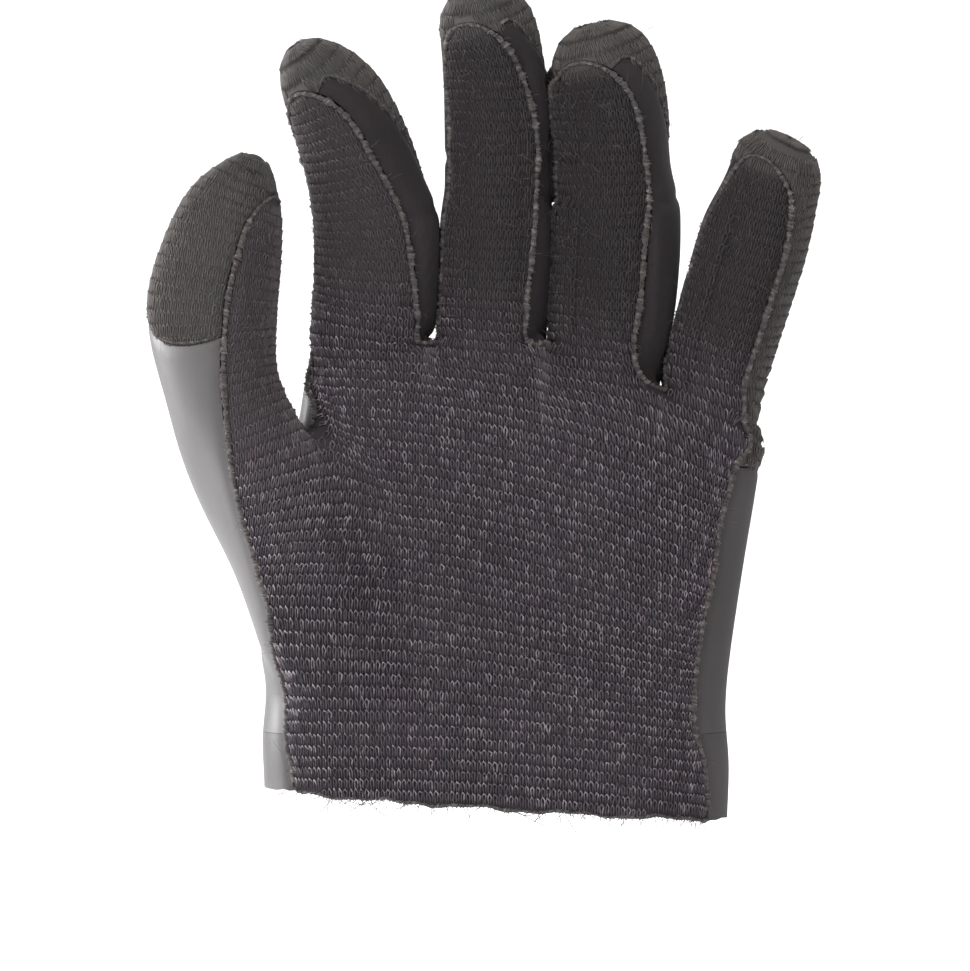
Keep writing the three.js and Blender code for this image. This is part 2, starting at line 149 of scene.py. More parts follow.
LITTLE = {
    "name": "little", "tone_and_painted_light": 1.05, "length": 56.0, "breadth": 24.4, "depth": 23.0,
    "gap": 1.0, "web_drop": 10.4, "tip_height": 9.0, "tip_square": 3.0, "cap_length": 26.0,
    "rows": table(DIGIT_COLUMNS, [
        [-0.27, -0.040, -0.02, 0.94, 1.00, 20],
        [0.00, 0.000, 0.00, 0.94, 1.00, 20],
        [0.20, 0.052, 0.03, 0.97, 1.00, 20],
        [0.40, 0.108, 0.08, 1.00, 0.98, 20],
        [0.60, 0.166, 0.13, 1.00, 0.96, 20, 0.55, 0.50],
        [0.80, 0.218, 0.19, 0.93, 0.90, 22, 0.62, -0.05],
        [0.90, 0.246, 0.225, 0.88, 0.86, 24, 0.80, -0.50],
        [1.00, 0.291, 0.26, 0.80, 0.80, 26, 1.05, -0.95],
    ]),
}
THUMB = {
    "name": "thumb", "tone_and_painted_light": 2.5, "length": 124.0, "breadth": 29.0, "depth": 27.0,
    "root": (-27.0, -2.0, 22.0), "tip_height": 15.0, "tip_square": 2.1, "cap_length": 33.0,
    "rows": table(DIGIT_COLUMNS, [
        [0.00, 0.000, 0.00, 1.50, 1.36, 0, 0.66, 0.55],
        [0.14, -0.071, 0.03, 1.35, 1.48, 0, 0.68, 0.55],
        [0.28, -0.146, 0.07, 1.11, 1.40, -6, 0.66, 0.55],
        [0.42, -0.224, 0.09, 0.95, 1.22, -30],
        [0.56, -0.280, 0.10, 0.90, 0.98, -56],
        [0.70, -0.301, 0.11, 0.97, 1.10, -72, 0.50, 0.50],
        [0.80, -0.285, 0.12, 1.00, 1.03, -76, 0.50, 0.00],
        [0.90, -0.257, 0.12, 0.93, 0.83, -78, 0.62, -0.50],
        [1.00, -0.216, 0.13, 0.70, 0.50, -80, 1.05, -0.95],
    ]),
}
PALM_ROWS = table(["up", "mix", "breadth", "drift", "depth", "cup", "seam", "droop"], [
    [0.00, 0.0, 1.018, -0.12, 0.98, 0.00, 0.52, 0.00],
    [0.11, 0.0, 1.025, -0.12, 1.02, 0.00, 0.50, 0.00],
    [0.22, 0.0, 1.010, -0.12, 1.00, 0.03, 0.52, 0.00],
    [0.32, 0.1, 1.028, -0.14, 0.98, 0.08, 0.52, 0.00],
    [0.52, 0.4, 1.015, 0.34, 0.92, 0.16, 0.53, 0.00],
    [0.70, 0.7, 1.028, 0.56, 0.84, 0.16, 0.50, 0.25],
    [0.84, 1.0, 1.012, 0.84, 0.75, 0.10, 0.47, 0.55],
    [0.93, 1.0, 1.002, 0.96, 0.66, 0.03, 0.43, 0.80],
    [0.98, 1.0, 0.980, 1.00, 0.55, 0.00, 0.54, 0.90],
    [1.00, 1.0, 0.920, 1.00, 0.38, 0.00, 0.78, 1.00],
])
# How far the palm panel reaches to each side, in shares of the half breadth, at shares of the height
LEFT_REACH = (
    (0.00, 0.08, 0.13, 0.20, 0.27, 0.34, 0.40, 0.46, 0.50),
    (0.85, 0.862, 0.885, 0.895, 0.905, 0.93, 0.956, 1.10, 9.0),
)
RIGHT_REACH = (
    (0.00, 0.11, 0.163, 0.23, 0.33, 0.42, 0.50, 0.59, 0.65, 0.73, 0.79, 0.86),
    (0.90, 0.874, 0.847, 0.847, 0.850, 0.854, 0.866, 0.860, 0.870, 0.887, 0.98, 9.0),
)
FINGERS = [INDEX, MIDDLE, RING, LITTLE]
DIGITS = [*FINGERS, THUMB]


def sample(rows, name, at):
    """Smooth value of one column at an array of heights. The first column holds the heights."""
    keys = next(iter(rows.values()))
    values = rows[name]
    last = len(keys) - 1
    at = np.asarray(at, dtype=float)
    i = np.searchsorted(keys[1:-1], at, side="left")
    span = keys[i + 1] - keys[i]
    t = np.clip((at - keys[i]) / span, 0, 1)
    before = np.maximum(i - 1, 0)
    after = np.minimum(i + 2, last)
    start = (values[i + 1] - values[before]) / (keys[i + 1] - keys[before]) * span
    end = (values[after] - values[i]) / (keys[after] - keys[i]) * span
    t2 = t * t
    t3 = t2 * t
    return (
        values[i] * (2 * t3 - 3 * t2 + 1) + start * (t3 - 2 * t2 + t)
        + values[i + 1] * (3 * t2 - 2 * t3) + end * (t3 - t2)
    )


def unit(v):
    return v / np.linalg.norm(v, axis=-1, keepdims=True)


def placed(centre, *terms):
    """Points round each centre: along each axis of the centres by its own amounts."""
    points = centre[..., None, :]
    for axis, amounts in terms:
        points = points + axis[..., None, :] * amounts[..., None]
    return points


def smoothstep(low, high, value):
    t = np.clip((value - low) / (high - low), 0, 1)
    return t * t * (3 - 2 * t)


def web_breadth(digit):
    return digit["breadth"] * float(sample(digit["rows"], "breadth", 0.0))


KNUCKLE_BREADTH = sum(digit["gap"] + web_breadth(digit) for digit in FINGERS)
next_edge = KNUCKLE_DRIFT - KNUCKLE_BREADTH / 2
for digit in FINGERS:
    next_edge += digit["gap"]
    middle = next_edge + web_breadth(digit) / 2
    digit["base"] = np.array([middle, 0.0, PALM_LENGTH - digit["web_drop"]])
    next_edge += web_breadth(digit)
THUMB["base"] = np.array(THUMB["root"])


def digit_centre(digit, rise):
    drift = sample(digit["rows"], "drift", rise)
    curl = sample(digit["rows"], "curl", rise)
    return np.stack([drift, -curl, rise], axis=-1) * digit["length"] + digit["base"]


SLOPE_STEP = 0.02


def digit_frame(digit, rise):
    """The digit's own frames at an array of rises."""
    rise = np.asarray(rise, dtype=float)
    ahead = np.minimum(rise + SLOPE_STEP, 1)
    before = ahead - 2 * SLOPE_STEP
    along = unit(digit_centre(digit, ahead) - digit_centre(digit, before))
    level = unit(np.cross(np.array([0.0, 1.0, 0.0]), along))
    behind = np.cross(along, level)
    twist = np.radians(sample(digit["rows"], "twist", rise))
    c = np.cos(twist)[..., None]
    s = np.sin(twist)[..., None]
    return {
        "centre": digit_centre(digit, rise),
        "along": along,
        "level": level,
        "behind": behind,
        "twist": twist,
        "side": level * c - behind * s,
        "back": level * s + behind * c,
        "half_breadth": digit["breadth"] * sample(digit["rows"], "breadth", rise) / 2,
        "half_depth": digit["depth"] * sample(digit["rows"], "depth", rise) / 2,
        "seam": sample(digit["rows"], "seam", rise),
        "rear": sample(digit["rows"], "rear", rise),
    }


def palm_frame(up):
    """Middle, half sizes and shares of the palm at an array of heights."""
    place = {name: sample(PALM_ROWS, name, up) for name in PALM_ROWS if name != "up"}
    follow = WRIST_BREADTH + (KNUCKLE_BREADTH - WRIST_BREADTH) * place["mix"]
    return {
        **place,
        "up": up,
        "centre": KNUCKLE_DRIFT * place["drift"],
        "half_breadth": follow * place["breadth"] / 2,
        "half_depth": PALM_DEPTH * place["depth"] / 2,
    }


def palm_height(place, across):
    beyond = np.maximum(0, across - DROOP_START) / (1 - DROOP_START)
    hem = HEM_DROP / 2 * across * np.maximum(0, 1 - place["up"] / TOP_CURVE_START)
    return PALM_LENGTH * place["up"] - WEB_DROOP * place["droop"] * beyond - hem


# The form: fine lofts fused into one closed surface

LOFT_SIDES = 72
LOFT_STEP = 1.2
PALM_STEPS = 90
TIP_ROUNDS = 9
TIP_FLAT = 0.08


def loft(rings):
    """Vertices and faces of a closed solid through rings of points."""
    count, sides, _ = rings.shape
    points = rings.reshape(-1, 3)
    ends = np.stack([rings[0].mean(axis=0), rings[-1].mean(axis=0)])
    faces = []
    for ring in range(count - 1):
        low = ring * sides
        for i in range(sides):
            j = (i + 1) % sides
            faces.append((low + i, low + j, low + sides + j, low + sides + i))
    bottom = count * sides
    top_ring = (count - 1) * sides
    for i in range(sides):
        j = (i + 1) % sides
        faces.append((bottom, j, i))
        faces.append((bottom + 1, top_ring + i, top_ring + j))
    return np.vstack([points, ends]), faces


def digit_loft(digit):
    first = digit["rows"]["rise"][0]
    tip_start = 1 - digit["tip_height"] / digit["length"]
    tip_end = 1 - DIGIT_INSET / digit["length"]
    steps = int((tip_start - first) * digit["length"] / LOFT_STEP)
    rises = list(np.linspace(first, tip_start, steps))
    sizes = [1.0] * steps
    for i in range(1, TIP_ROUNDS + 1):
        share = math.sin(math.pi / 2 * i / TIP_ROUNDS)
        size = (1 - share ** digit["tip_square"]) ** (1 / digit["tip_square"]) if share < 1 else 0
        rises.append(tip_start + (tip_end - tip_start) * share)
        sizes.append(max(size, TIP_FLAT))
    place = digit_frame(digit, np.array(rises))
    sizes = np.array(sizes)[:, None]
    angle = np.linspace(0, 2 * math.pi, LOFT_SIDES, endpoint=False)[None, :]
    own = angle + place["twist"][:, None]
    across = (place["half_breadth"][:, None] - DIGIT_INSET) * sizes
    deep = (place["half_depth"][:, None] - DIGIT_INSET) * sizes
    nearness = np.abs(np.cos(own) / across) ** FINGER_SQUARE + np.abs(np.sin(own) / deep) ** FINGER_SQUARE
    radius = nearness ** (-1 / FINGER_SQUARE)
    level = (place["level"], radius * np.cos(angle))
    behind = (place["behind"], radius * np.sin(angle))
    return loft(placed(place["centre"], level, behind))


def palm_loft():
    angle = np.linspace(0, 2 * math.pi, 2 * LOFT_SIDES, endpoint=False)
    power = 2 / PALM_SQUARE
    u = np.sign(np.cos(angle)) * np.abs(np.cos(angle)) ** power
    v = np.sign(np.sin(angle)) * np.abs(np.sin(angle)) ** power
    rings = []
    for up in np.linspace(0, 1, PALM_STEPS):
        place = palm_frame(up)
        pressed = np.where(v < 0, 1 - place["cup"] * (1 - u * u) ** 2, 1)
        rings.append(np.stack([
            place["centre"] + u * (place["half_breadth"] - PALM_INSET),
            v * (place["half_depth"] - PALM_INSET) * pressed,
            palm_height(place, u),
        ], axis=-1))
    below = rings[0] - np.array([0.0, 0.0, HEM_EXTRA])
    return loft(np.array([below, *rings]))


def fused_surface():
    """One closed triangle surface round the palm and the digits, as arrays."""
    points = []
    faces = []
    for part_points, part_faces in [palm_loft(), *[digit_loft(digit) for digit in DIGITS]]:
        offset = sum(len(p) for p in points)
        points.append(part_points)
        faces.extend(tuple(i + offset for i in face) for face in part_faces)
    mesh = bpy.data.meshes.new("fused")
    mesh.from_pydata((np.vstack(points) * MM).tolist(), [], faces)
    body = bpy.data.objects.new("fused", mesh)
    bpy.context.scene.collection.objects.link(body)
    remesh = body.modifiers.new("remesh", "REMESH")
    remesh.mode = "VOXEL"
    remesh.voxel_size = VOXEL * MM
    evaluated = body.evaluated_get(bpy.context.evaluated_depsgraph_get())
    result = evaluated.to_mesh()
    result.calc_loop_triangles()
    verts = np.empty(len(result.vertices) * 3)
    result.vertices.foreach_get("co", verts)
    tris = np.empty(len(result.loop_triangles) * 3, dtype=np.int64)
    result.loop_triangles.foreach_get("vertices", tris)
    evaluated.to_mesh_clear()
    bpy.data.objects.remove(body)
    bpy.data.meshes.remove(mesh)
    return verts.reshape(-1, 3) / MM, tris.reshape(-1, 3)


def sides_of(tris):
    """The edges of all faces, each in its face's direction."""
    return np.vstack([tris[:, [0, 1]], tris[:, [1, 2]], tris[:, [2, 0]]])


def edges_of(tris):
    return np.unique(np.sort(sides_of(tris), axis=1), axis=0)


def vertex_sums(corners, values, count):
    """Sums of the faces' values at their vertices."""
    total = np.zeros((count, values.shape[1]))
    for corner in corners.T:
        for axis in range(values.shape[1]):
            total[:, axis] += np.bincount(corner, values[:, axis], count)
    return total


def vertex_normals(verts, tris):
    a, b, c = verts[tris].transpose(1, 0, 2)
    total = vertex_sums(tris, np.cross(b - a, c - a), len(verts))
    return total / np.maximum(np.linalg.norm(total, axis=1, keepdims=True), 1e-12)


def neighbour_mean(values, edges, count):
    first = vertex_sums(edges[:, :1], values[edges[:, 1]], len(values))
    second = vertex_sums(edges[:, 1:], values[edges[:, 0]], len(values))
    return (first + second) / count[:, None]


def smoothed(verts, tris):
    """Evens the voxel steps, then fills the webs and creases and leaves the rounded parts. The palm
    is filled further than the slots between the fingers."""
    edges = edges_of(tris)
    count = np.bincount(edges.ravel(), minlength=len(verts))
    for _ in range(SMOOTHING):
        verts = verts + SMOOTHING_SHARE * (neighbour_mean(verts, edges, count) - verts)
    for step in range(PALM_SMOOTHING):
        move = neighbour_mean(verts, edges, count) - verts
        normals = vertex_normals(verts, tris)
        outward = np.sum(move * normals, axis=1, keepdims=True)
        move = move - normals * np.minimum(outward, 0)
        if step >= WEB_SMOOTHING:
            move *= smoothstep(*PALM_FILL, verts[:, 2:3])
        verts = verts + SMOOTHING_SHARE * move
    return verts


# Where each point of the surface lies on the palm and on each digit

STATIONS = 220
CHUNK = 20000


def digit_coordinates(digit, verts):
    """Rise, sideways and backwards place of points in a digit's own frames."""
    first = digit["rows"]["rise"][0]
    rises = np.linspace(first, 1, STATIONS)
    place = digit_frame(digit, rises)
    offset = np.sum(place["centre"] * place["along"], axis=1)
    found = np.empty(len(verts))
    for start in range(0, len(verts), CHUNK):
        ahead = verts[start:start + CHUNK] @ place["along"].T - offset
        station = np.clip(np.sum(ahead > 0, axis=1) - 1, 0, STATIONS - 2)
        rows = np.arange(len(station))
        low = ahead[rows, station]
        high = ahead[rows, station + 1]
        share = np.clip(low / np.where(np.abs(low - high) < 1e-9, 1e-9, low - high), 0, 1)
        found[start:start + CHUNK] = rises[station] + share * (rises[1] - rises[0])
    own = digit_frame(digit, found)
    away = verts - own["centre"]
    sideways = np.sum(away * own["side"], axis=1)
    backwards = np.sum(away * own["back"], axis=1)
    beyond = np.sum(away * own["along"], axis=1)
    radius = np.sqrt(
        (sideways / own["half_breadth"]) ** 2 + (backwards / own["half_depth"]) ** 2
        + (beyond / own["half_depth"]) ** 2
    )
    return {
        "rise": found, "s": sideways, "b": backwards, "radius": radius,
        "height": found * digit["length"] + beyond,
        "hb": own["half_breadth"], "hd": own["half_depth"], "seam": own["seam"], "rear": own["rear"],
    }


HEIGHT_ROUNDS = 12
HEIGHT_STEP = 0.6


def palm_coordinates(verts):
    """Share of the height, of the half breadth, and the palm's frame there."""
    up = np.clip(verts[:, 2] / PALM_LENGTH, 0, 1)
    for _ in range(HEIGHT_ROUNDS):
        place = palm_frame(up)
        across = np.clip((verts[:, 0] - place["centre"]) / place["half_breadth"], -1, 1)
        error = palm_height(place, across) - verts[:, 2]
        up = np.clip(up - HEIGHT_STEP * error / PALM_LENGTH, 0, 1)
    place = palm_frame(up)
    place["across"] = (verts[:, 0] - place["centre"]) / place["half_breadth"]
    return place


# Ranges over which the palm's fields pass into the fingers' and the thumb's, by height in millimetres
# over the web, by distance in half sizes and by share of the length
FRONT_BLEND = (-8.0, 4.0)
FABRIC_BLEND = (-16.0, 18.0)
FINE_BLEND = (-14.0, 22.0)
OFF_THUMB = (0.0, 0.25)
THUMB_RADIUS = (1.7, 1.1)
THUMB_RISE = (0.22, 0.55)
TIP_SHARE = (0.84, 0.93)
SOFTNESS = 0.05
FAR = 99.0

# The knit's rows slope and bend over the palm and wrap round its sides
WRAP = (0.72, 0.95)
WRAP_SHARE = 0.7
WRAP_DEPTH = 0.9
LOWER_PALM = (0.1, 0.5)
UPPER_PALM = (1.0, 0.7)
ROW_SLOPE = 0.14
ROW_SLOPE_LOW = 0.07
ROW_SLOPE_ADDED = 0.09
ROW_BEND = 0.0012
ROW_BEND_ADDED = 0.0008
THUMB_JOIN = 0.42


def surface_fields(verts):
    """Where each point lies, the distances that the panels' edges are drawn with, and the knit's own
    coordinates and mood."""
    palm = palm_coordinates(verts)
    own = [digit_coordinates(digit, verts) for digit in DIGITS]
    fingers = own[:4]
    thumb = own[4]
    radii = np.stack([d["radius"] for d in fingers])
    closest = radii.min(axis=0)
    nearest = np.argmin(radii, axis=0)
    thumb_side = thumb["radius"] < closest
    weight = np.exp(-(radii - closest) / SOFTNESS)
    weight /= weight.sum(axis=0)

    def mixed(values):
        return np.sum(weight * np.stack(values), axis=0)

    height = mixed([d["height"] for d in fingers])
    off_thumb = smoothstep(*OFF_THUMB, thumb["radius"] - closest)
    on_finger = smoothstep(*FRONT_BLEND, height) * off_thumb
    on_thumb = smoothstep(*THUMB_RADIUS, thumb["radius"]) * smoothstep(*THUMB_RISE, thumb["rise"])
    on_thumb = on_thumb * (1 - on_finger)
    place = {
        "palm": palm, "own": own, "nearest": nearest, "thumb_side": thumb_side, "height": height,
        "off_thumb": off_thumb, "on_finger": on_finger, "on_thumb": on_thumb, "mixed": mixed,
        "weight": weight,
    }
    fields = {"nearest": np.where(thumb_side, 4.0, nearest), "height": height}
    return {**fields, **panel_fields(verts, place), **knit_fields(verts, place)}


def panel_fields(verts, place):
    """Distances to the edges of the panels, above zero inside each panel."""
    palm, own, mixed = place["palm"], place["own"], place["mixed"]
    nearest, thumb_side, on_finger = place["nearest"], place["thumb_side"], place["on_finger"]
    fingers = own[:4]
    thumb = own[4]
    rears = [np.maximum(d["rear"], STRIP_POINT - d["seam"]) * d["hd"] for d in own]
    finger_front = mixed([-d["b"] - d["seam"] * d["hd"] for d in fingers])
    finger_rear = mixed([d["b"] - rear for d, rear in zip(fingers, rears)])

    # The palm panel: the palm and the fronts of the fingers and of the thumb, up to the side seams
    palm_front = -verts[:, 1] - palm["seam"] * palm["half_depth"]
    limit = np.where(palm["up"] > THUMB_START, THUMB_LIMIT, CLEAR)
    palm_front = np.minimum(palm_front, (palm["across"] + limit) * palm["half_breadth"])
    thumb_reach = np.where(thumb["rise"] < THUMB_WEB, PALM_REACH, CLEAR) * thumb["hd"]
    thumb_front = np.minimum.reduce([
        -thumb["b"] - thumb["seam"] * thumb["hd"],
        thumb["b"] + thumb_reach,
        CLEAR * thumb["hb"] - np.abs(thumb["s"]),
        thumb["height"],
        THUMB["length"] + CLEAR - thumb["height"],
    ])
    front = palm_front * (1 - on_finger) + finger_front * on_finger
    height_share = verts[:, 2] / PALM_LENGTH
    left_edge = np.interp(height_share, *LEFT_REACH) + palm["across"]
    right_edge = np.interp(height_share, *RIGHT_REACH) - palm["across"]
    edge = np.minimum(left_edge, right_edge) * palm["half_breadth"]
    fields = {"front": np.minimum(np.maximum(front, thumb_front), edge)}

    def strip_side(i, sign):
        share = fingers[i]["height"] / FINGERS[i]["length"]
        share = STRIP_INNER + (1 - STRIP_INNER) * smoothstep(STRIP_NARROWING, STRIP_TOP, share)
        return sign * fingers[i]["s"] - share * fingers[i]["hb"]

    for i in range(3):
        second = np.where(nearest == i + 1, strip_side(i + 1, -1), -FAR)
        inner = np.where(nearest == i, strip_side(i, 1), second)
        drop = np.where(nearest == i, fingers[i]["height"], fingers[i + 1]["height"]) + WEB_STRIP_DROP
        inner = np.where(thumb_side, -FAR, inner)
        fields[f"strip_{i}"] = np.minimum.reduce([inner, -finger_rear, drop])
    fields["strips"] = np.maximum.reduce([fields[f"strip_{i}"] for i in range(3)])

    for i, digit in enumerate(DIGITS):
        d = own[i]
        start = 1 - digit["cap_length"] / digit["length"]
        dip = CAP_DIP * digit["cap_length"] / digit["length"]
        edge = d["height"] + (dip * np.abs(d["s"]) / d["hb"] - start) * digit["length"]
        mine = thumb_side if digit is THUMB else (nearest == i) & ~thumb_side
        if digit is LITTLE:
            outer = d["s"] - STRIP_INNER * d["hb"]
            outer = np.minimum.reduce([outer, rears[i] - d["b"], d["height"] + SIDE_STRIP_DROP])
            edge = np.maximum(edge, outer)
        fields[f"cap_{i}"] = np.where(mine, edge, -FAR)
    fields["caps"] = np.maximum.reduce([fields[f"cap_{i}"] for i in range(5)])
    fields["cuff"] = CUFF_HEIGHT - verts[:, 2]
    fields["hem"] = verts[:, 2] + HEM_DROP / 2 * palm["across"]
    return fields


def knit_fields(verts, place):
    """The knit's coordinates, in columns and rows, and its mood, with each digit's painted light."""
    palm, own, mixed, height = place["palm"], place["own"], place["mixed"], place["height"]
    off_thumb, on_thumb, thumb_side = place["off_thumb"], place["on_thumb"], place["thumb_side"]
    fingers = own[:4]
    thumb = own[4]
    height_share = verts[:, 2] / PALM_LENGTH
    wrap = smoothstep(*WRAP, np.abs(palm["across"])) * np.sign(palm["across"])
    palm_u = verts[:, 0] + WRAP_SHARE * wrap * np.maximum(0, verts[:, 1] + WRAP_DEPTH * palm["half_depth"])
    lower = smoothstep(*LOWER_PALM, height_share)
    middle_share = lower * smoothstep(*UPPER_PALM, height_share)
    slope = ROW_SLOPE_LOW + (ROW_SLOPE - ROW_SLOPE_LOW) * lower + ROW_SLOPE_ADDED * middle_share
    bend = ROW_BEND + ROW_BEND_ADDED * middle_share
    palm_v = verts[:, 2] + slope * verts[:, 0] + bend * verts[:, 0] ** 2

    def around(d):
        return (d["hb"] + d["hd"]) / 2 * np.arctan2(d["s"] / d["hb"], -d["b"] / d["hd"])

    finger_u = np.zeros(len(verts))
    finger_v = np.zeros(len(verts))
    own_height = np.where(thumb_side, thumb["height"] / THUMB["length"], 0)
    for i, digit in enumerate(FINGERS):
        base = digit["base"]
        lift = ROW_SLOPE * base[0] + ROW_BEND * base[0] ** 2
        finger_u += place["weight"][i] * (around(fingers[i]) + base[0])
        finger_v += place["weight"][i] * (fingers[i]["height"] + base[2] + lift)
        mine = ~thumb_side & (place["nearest"] == i)
        own_height = np.where(mine, fingers[i]["height"] / digit["length"], own_height)
    join = digit_centre(THUMB, THUMB_JOIN)[0]
    thumb_u = around(thumb) + join
    thumb_v = thumb["height"] + THUMB["base"][2] + ROW_SLOPE * join + ROW_BEND * join ** 2
    blend = smoothstep(*FABRIC_BLEND, height) * off_thumb
    u = palm_u * (1 - blend) + finger_u * blend
    v = palm_v * (1 - blend) + finger_v * blend
    on_any = smoothstep(*FINE_BLEND, height) * off_thumb
    # Painted light: each digit's shade brightens or darkens its knit as light falls on it
    shades = mixed([np.full(len(verts), digit["tone_and_painted_light"]) for digit in FINGERS])
    shades = 1 + (shades - 1) * on_any
    return {
        "u": (u * (1 - on_thumb) + thumb_u * on_thumb) / COLUMN,
        "v": (v * (1 - on_thumb) + thumb_v * on_thumb) / ROW,
        "fine": np.maximum(on_any, on_thumb),
        "tone_and_painted_light": shades + (THUMB["tone_and_painted_light"] - shades) * on_thumb,
        "tip": smoothstep(*TIP_SHARE, own_height),
    }


# Neighbouring fingers touch: their walls are moved out until they nearly meet

BULGE = 1.5
BULGE_EDGE = 1.4
WEB_RISE = 2.4
WEB_DEPTH = 4.5
WEB_REACH = 9.0
# For each pair of fingers, the heights over the web between which the bulge sets in from the top
BULGE_TOPS = [(36.0, 24.0), (79.0, 68.0), (46.0, 34.0)]


def pressed_together(verts, normals, fields):
    """The vertices with the strips between the fingers bulged by BULGE at most, and the webs raised
    behind their seams."""
    moved = verts.copy()
    finger = fields["nearest"]
    near_strip = fields["strips"] > -BULGE_EDGE
    for i, (top, full) in enumerate(BULGE_TOPS):
        for own, other in ((i, i + 1), (i + 1, i)):
            facing = np.flatnonzero((finger == other) & near_strip)
            tree = KDTree(len(facing))
            for place, vertex in enumerate(facing):
                tree.insert(verts[vertex], place)
            tree.balance()
            chosen = np.flatnonzero((finger == own) & (fields[f"strip_{i}"] > 0))
            found = np.array([tree.find(verts[vertex])[0] for vertex in chosen])
            reach = np.sum((found - verts[chosen]) * normals[chosen], axis=1)
            push = np.clip(reach / 2, 0, BULGE)
            push *= smoothstep(0, BULGE_EDGE, fields[f"strip_{i}"][chosen])
            push *= smoothstep(top, full, fields["height"][chosen])
            moved[chosen] += normals[chosen] * push[:, None]
    rise = smoothstep(0, WEB_DEPTH, fields["strips"]) * smoothstep(WEB_REACH, 0, fields["height"])
    moved[:, 2] += WEB_RISE * rise * smoothstep(0, WEB_DEPTH / 2, -fields["front"])
    return moved


# Cutting panels out of the surface

SHORTEST_CUT = 0.08


def turned(rows, first):
    """Triangles with the corner of the given number put first."""
    at = np.arange(len(rows))
    return np.stack([rows[at, (first + i) % 3] for i in range(3)], axis=1)


def subset(patch, chosen):
    """The chosen triangles of a patch, with the vertices that they use."""
    used, flat = np.unique(patch["tris"][chosen], return_inverse=True)
    result = {name: data[used] for name, data in patch.items() if name != "tris"}
    return {"tris": flat.reshape(-1, 3), **result}


def clip(patch, values):
    """The part of a patch where values are above zero, with a clean edge along the zero line."""
    tris = patch["tris"]
    inside = values > 0
    count = inside[tris].sum(axis=1)
    one = tris[count == 1]
    one = turned(one, np.argmax(inside[one], axis=1))
    two = tris[count == 2]
    two = turned(two, np.argmin(inside[two], axis=1))
    crossing = np.vstack([one[:, [0, 1]], one[:, [0, 2]], two[:, [0, 1]], two[:, [0, 2]]])
    keys, inverse = np.unique(np.sort(crossing, axis=1), axis=0, return_inverse=True)
    low, high = keys[:, 0], keys[:, 1]
    t = values[low] / (values[low] - values[high])
    t = np.clip(t, SHORTEST_CUT, 1 - SHORTEST_CUT)
    n1, n2 = len(one), len(two)
    made = len(values) + inverse.reshape(-1)
    one_b, one_c = made[:n1], made[n1:2 * n1]
    two_b, two_c = made[2 * n1:2 * n1 + n2], made[2 * n1 + n2:]
    grown = {"tris": np.vstack([
        tris[count == 3],
        np.stack([one[:, 0], one_b, one_c], axis=1),
        np.stack([two_b, two[:, 1], two[:, 2]], axis=1),
        np.stack([two_b, two[:, 2], two_c], axis=1),
    ])}
    for name, data in patch.items():
        if name != "tris":
            share = t if data.ndim == 1 else t[:, None]
            grown[name] = np.concatenate([data, data[low] * (1 - share) + data[high] * share])
    return subset(grown, slice(None))


def components(patch):
    """Number of the connected part that each vertex belongs to."""
    tris = patch["tris"]
    label = np.arange(len(patch["verts"]))
    while True:
        low = label[tris].min(axis=1)
        updated = label.copy()
        for i in range(3):
            np.minimum.at(updated, tris[:, i], low)
        updated = updated[updated]
        if np.array_equal(updated, label):
            return label
        label = updated


def largest(patch):
    """The patch without small islands."""
    label = components(patch)
    names, sizes = np.unique(label, return_counts=True)
    keep = label == names[np.argmax(sizes)]
    return subset(patch, keep[patch["tris"]].all(axis=1))


def rim_edges(tris):
    """Directed edges with a face on one side only."""
    pairs = sides_of(tris)
    size = int(tris.max()) + 1
    forward = pairs[:, 0] * size + pairs[:, 1]
    backward = pairs[:, 1] * size + pairs[:, 0]
    return pairs[~np.isin(forward, backward)]


# What the knit's materials read besides the level, which is painted light on each loop: how fine it
# is, each digit's painted light, and how near a tip
MOOD = ("fine", "tone_and_painted_light", "tip")


def ground_data(patch):
    """The mood of a patch for both faces of its shell."""
    return {name: np.tile(patch[name], 2) for name in MOOD}


def plain_data(level):
    """Data for yarn outside the knit: its own levels, with no mood."""
    whole = np.ones(len(level))
    return {"level": level, "fine": 0 * whole, "tip": 0 * whole, "tone_and_painted_light": whole}


def shell(patch, thickness):
    """Closed body: the patch, the same patch further in, and the edge between them."""
    verts = patch["verts"]
    tris = patch["tris"]
    count = len(verts)
    inner = verts - patch["normals"] * thickness
    rim = rim_edges(tris)
    a, b = rim[:, 0], rim[:, 1]
    walls = np.vstack([
        np.stack([b, a, a + count], axis=1),
        np.stack([b, a + count, b + count], axis=1),
    ])
    return np.vstack([verts, inner]), np.vstack([tris, tris[:, ::-1] + count, walls])


# Making objects

SHARP_ANGLE = math.radians(50)


def add_piece(name, verts, tris, material, slot, node=None, sharp=True, data=None):
    """A piece of the glove in metres from arrays in millimetres, with its data for the material."""
    mesh = bpy.data.meshes.new(name)
    mesh.vertices.add(len(verts))
    mesh.vertices.foreach_set("co", (verts * MM).ravel())
    mesh.loops.add(len(tris) * 3)
    mesh.loops.foreach_set("vertex_index", tris.ravel().astype(np.int32))
    mesh.polygons.add(len(tris))
    mesh.polygons.foreach_set("loop_start", np.arange(0, len(tris) * 3, 3, dtype=np.int32))
    mesh.update(calc_edges=True)
    mesh.validate()
    mesh.polygons.foreach_set("use_smooth", np.ones(len(mesh.polygons), dtype=bool))
    if sharp:
        mesh.set_sharp_from_angle(angle=SHARP_ANGLE)
    mesh.materials.append(material)
    for key, values in (data or {}).items():
        attribute = mesh.attributes.new(key, "FLOAT", "POINT")
        attribute.data.foreach_set("value", values.astype(np.float32))
    piece = bpy.data.objects.new(name, mesh)
    bpy.context.scene.collection.objects.link(piece)
    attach(piece, "root")
    if node:
        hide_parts(node)


# Knitted loops on a fabric's own columns and rows

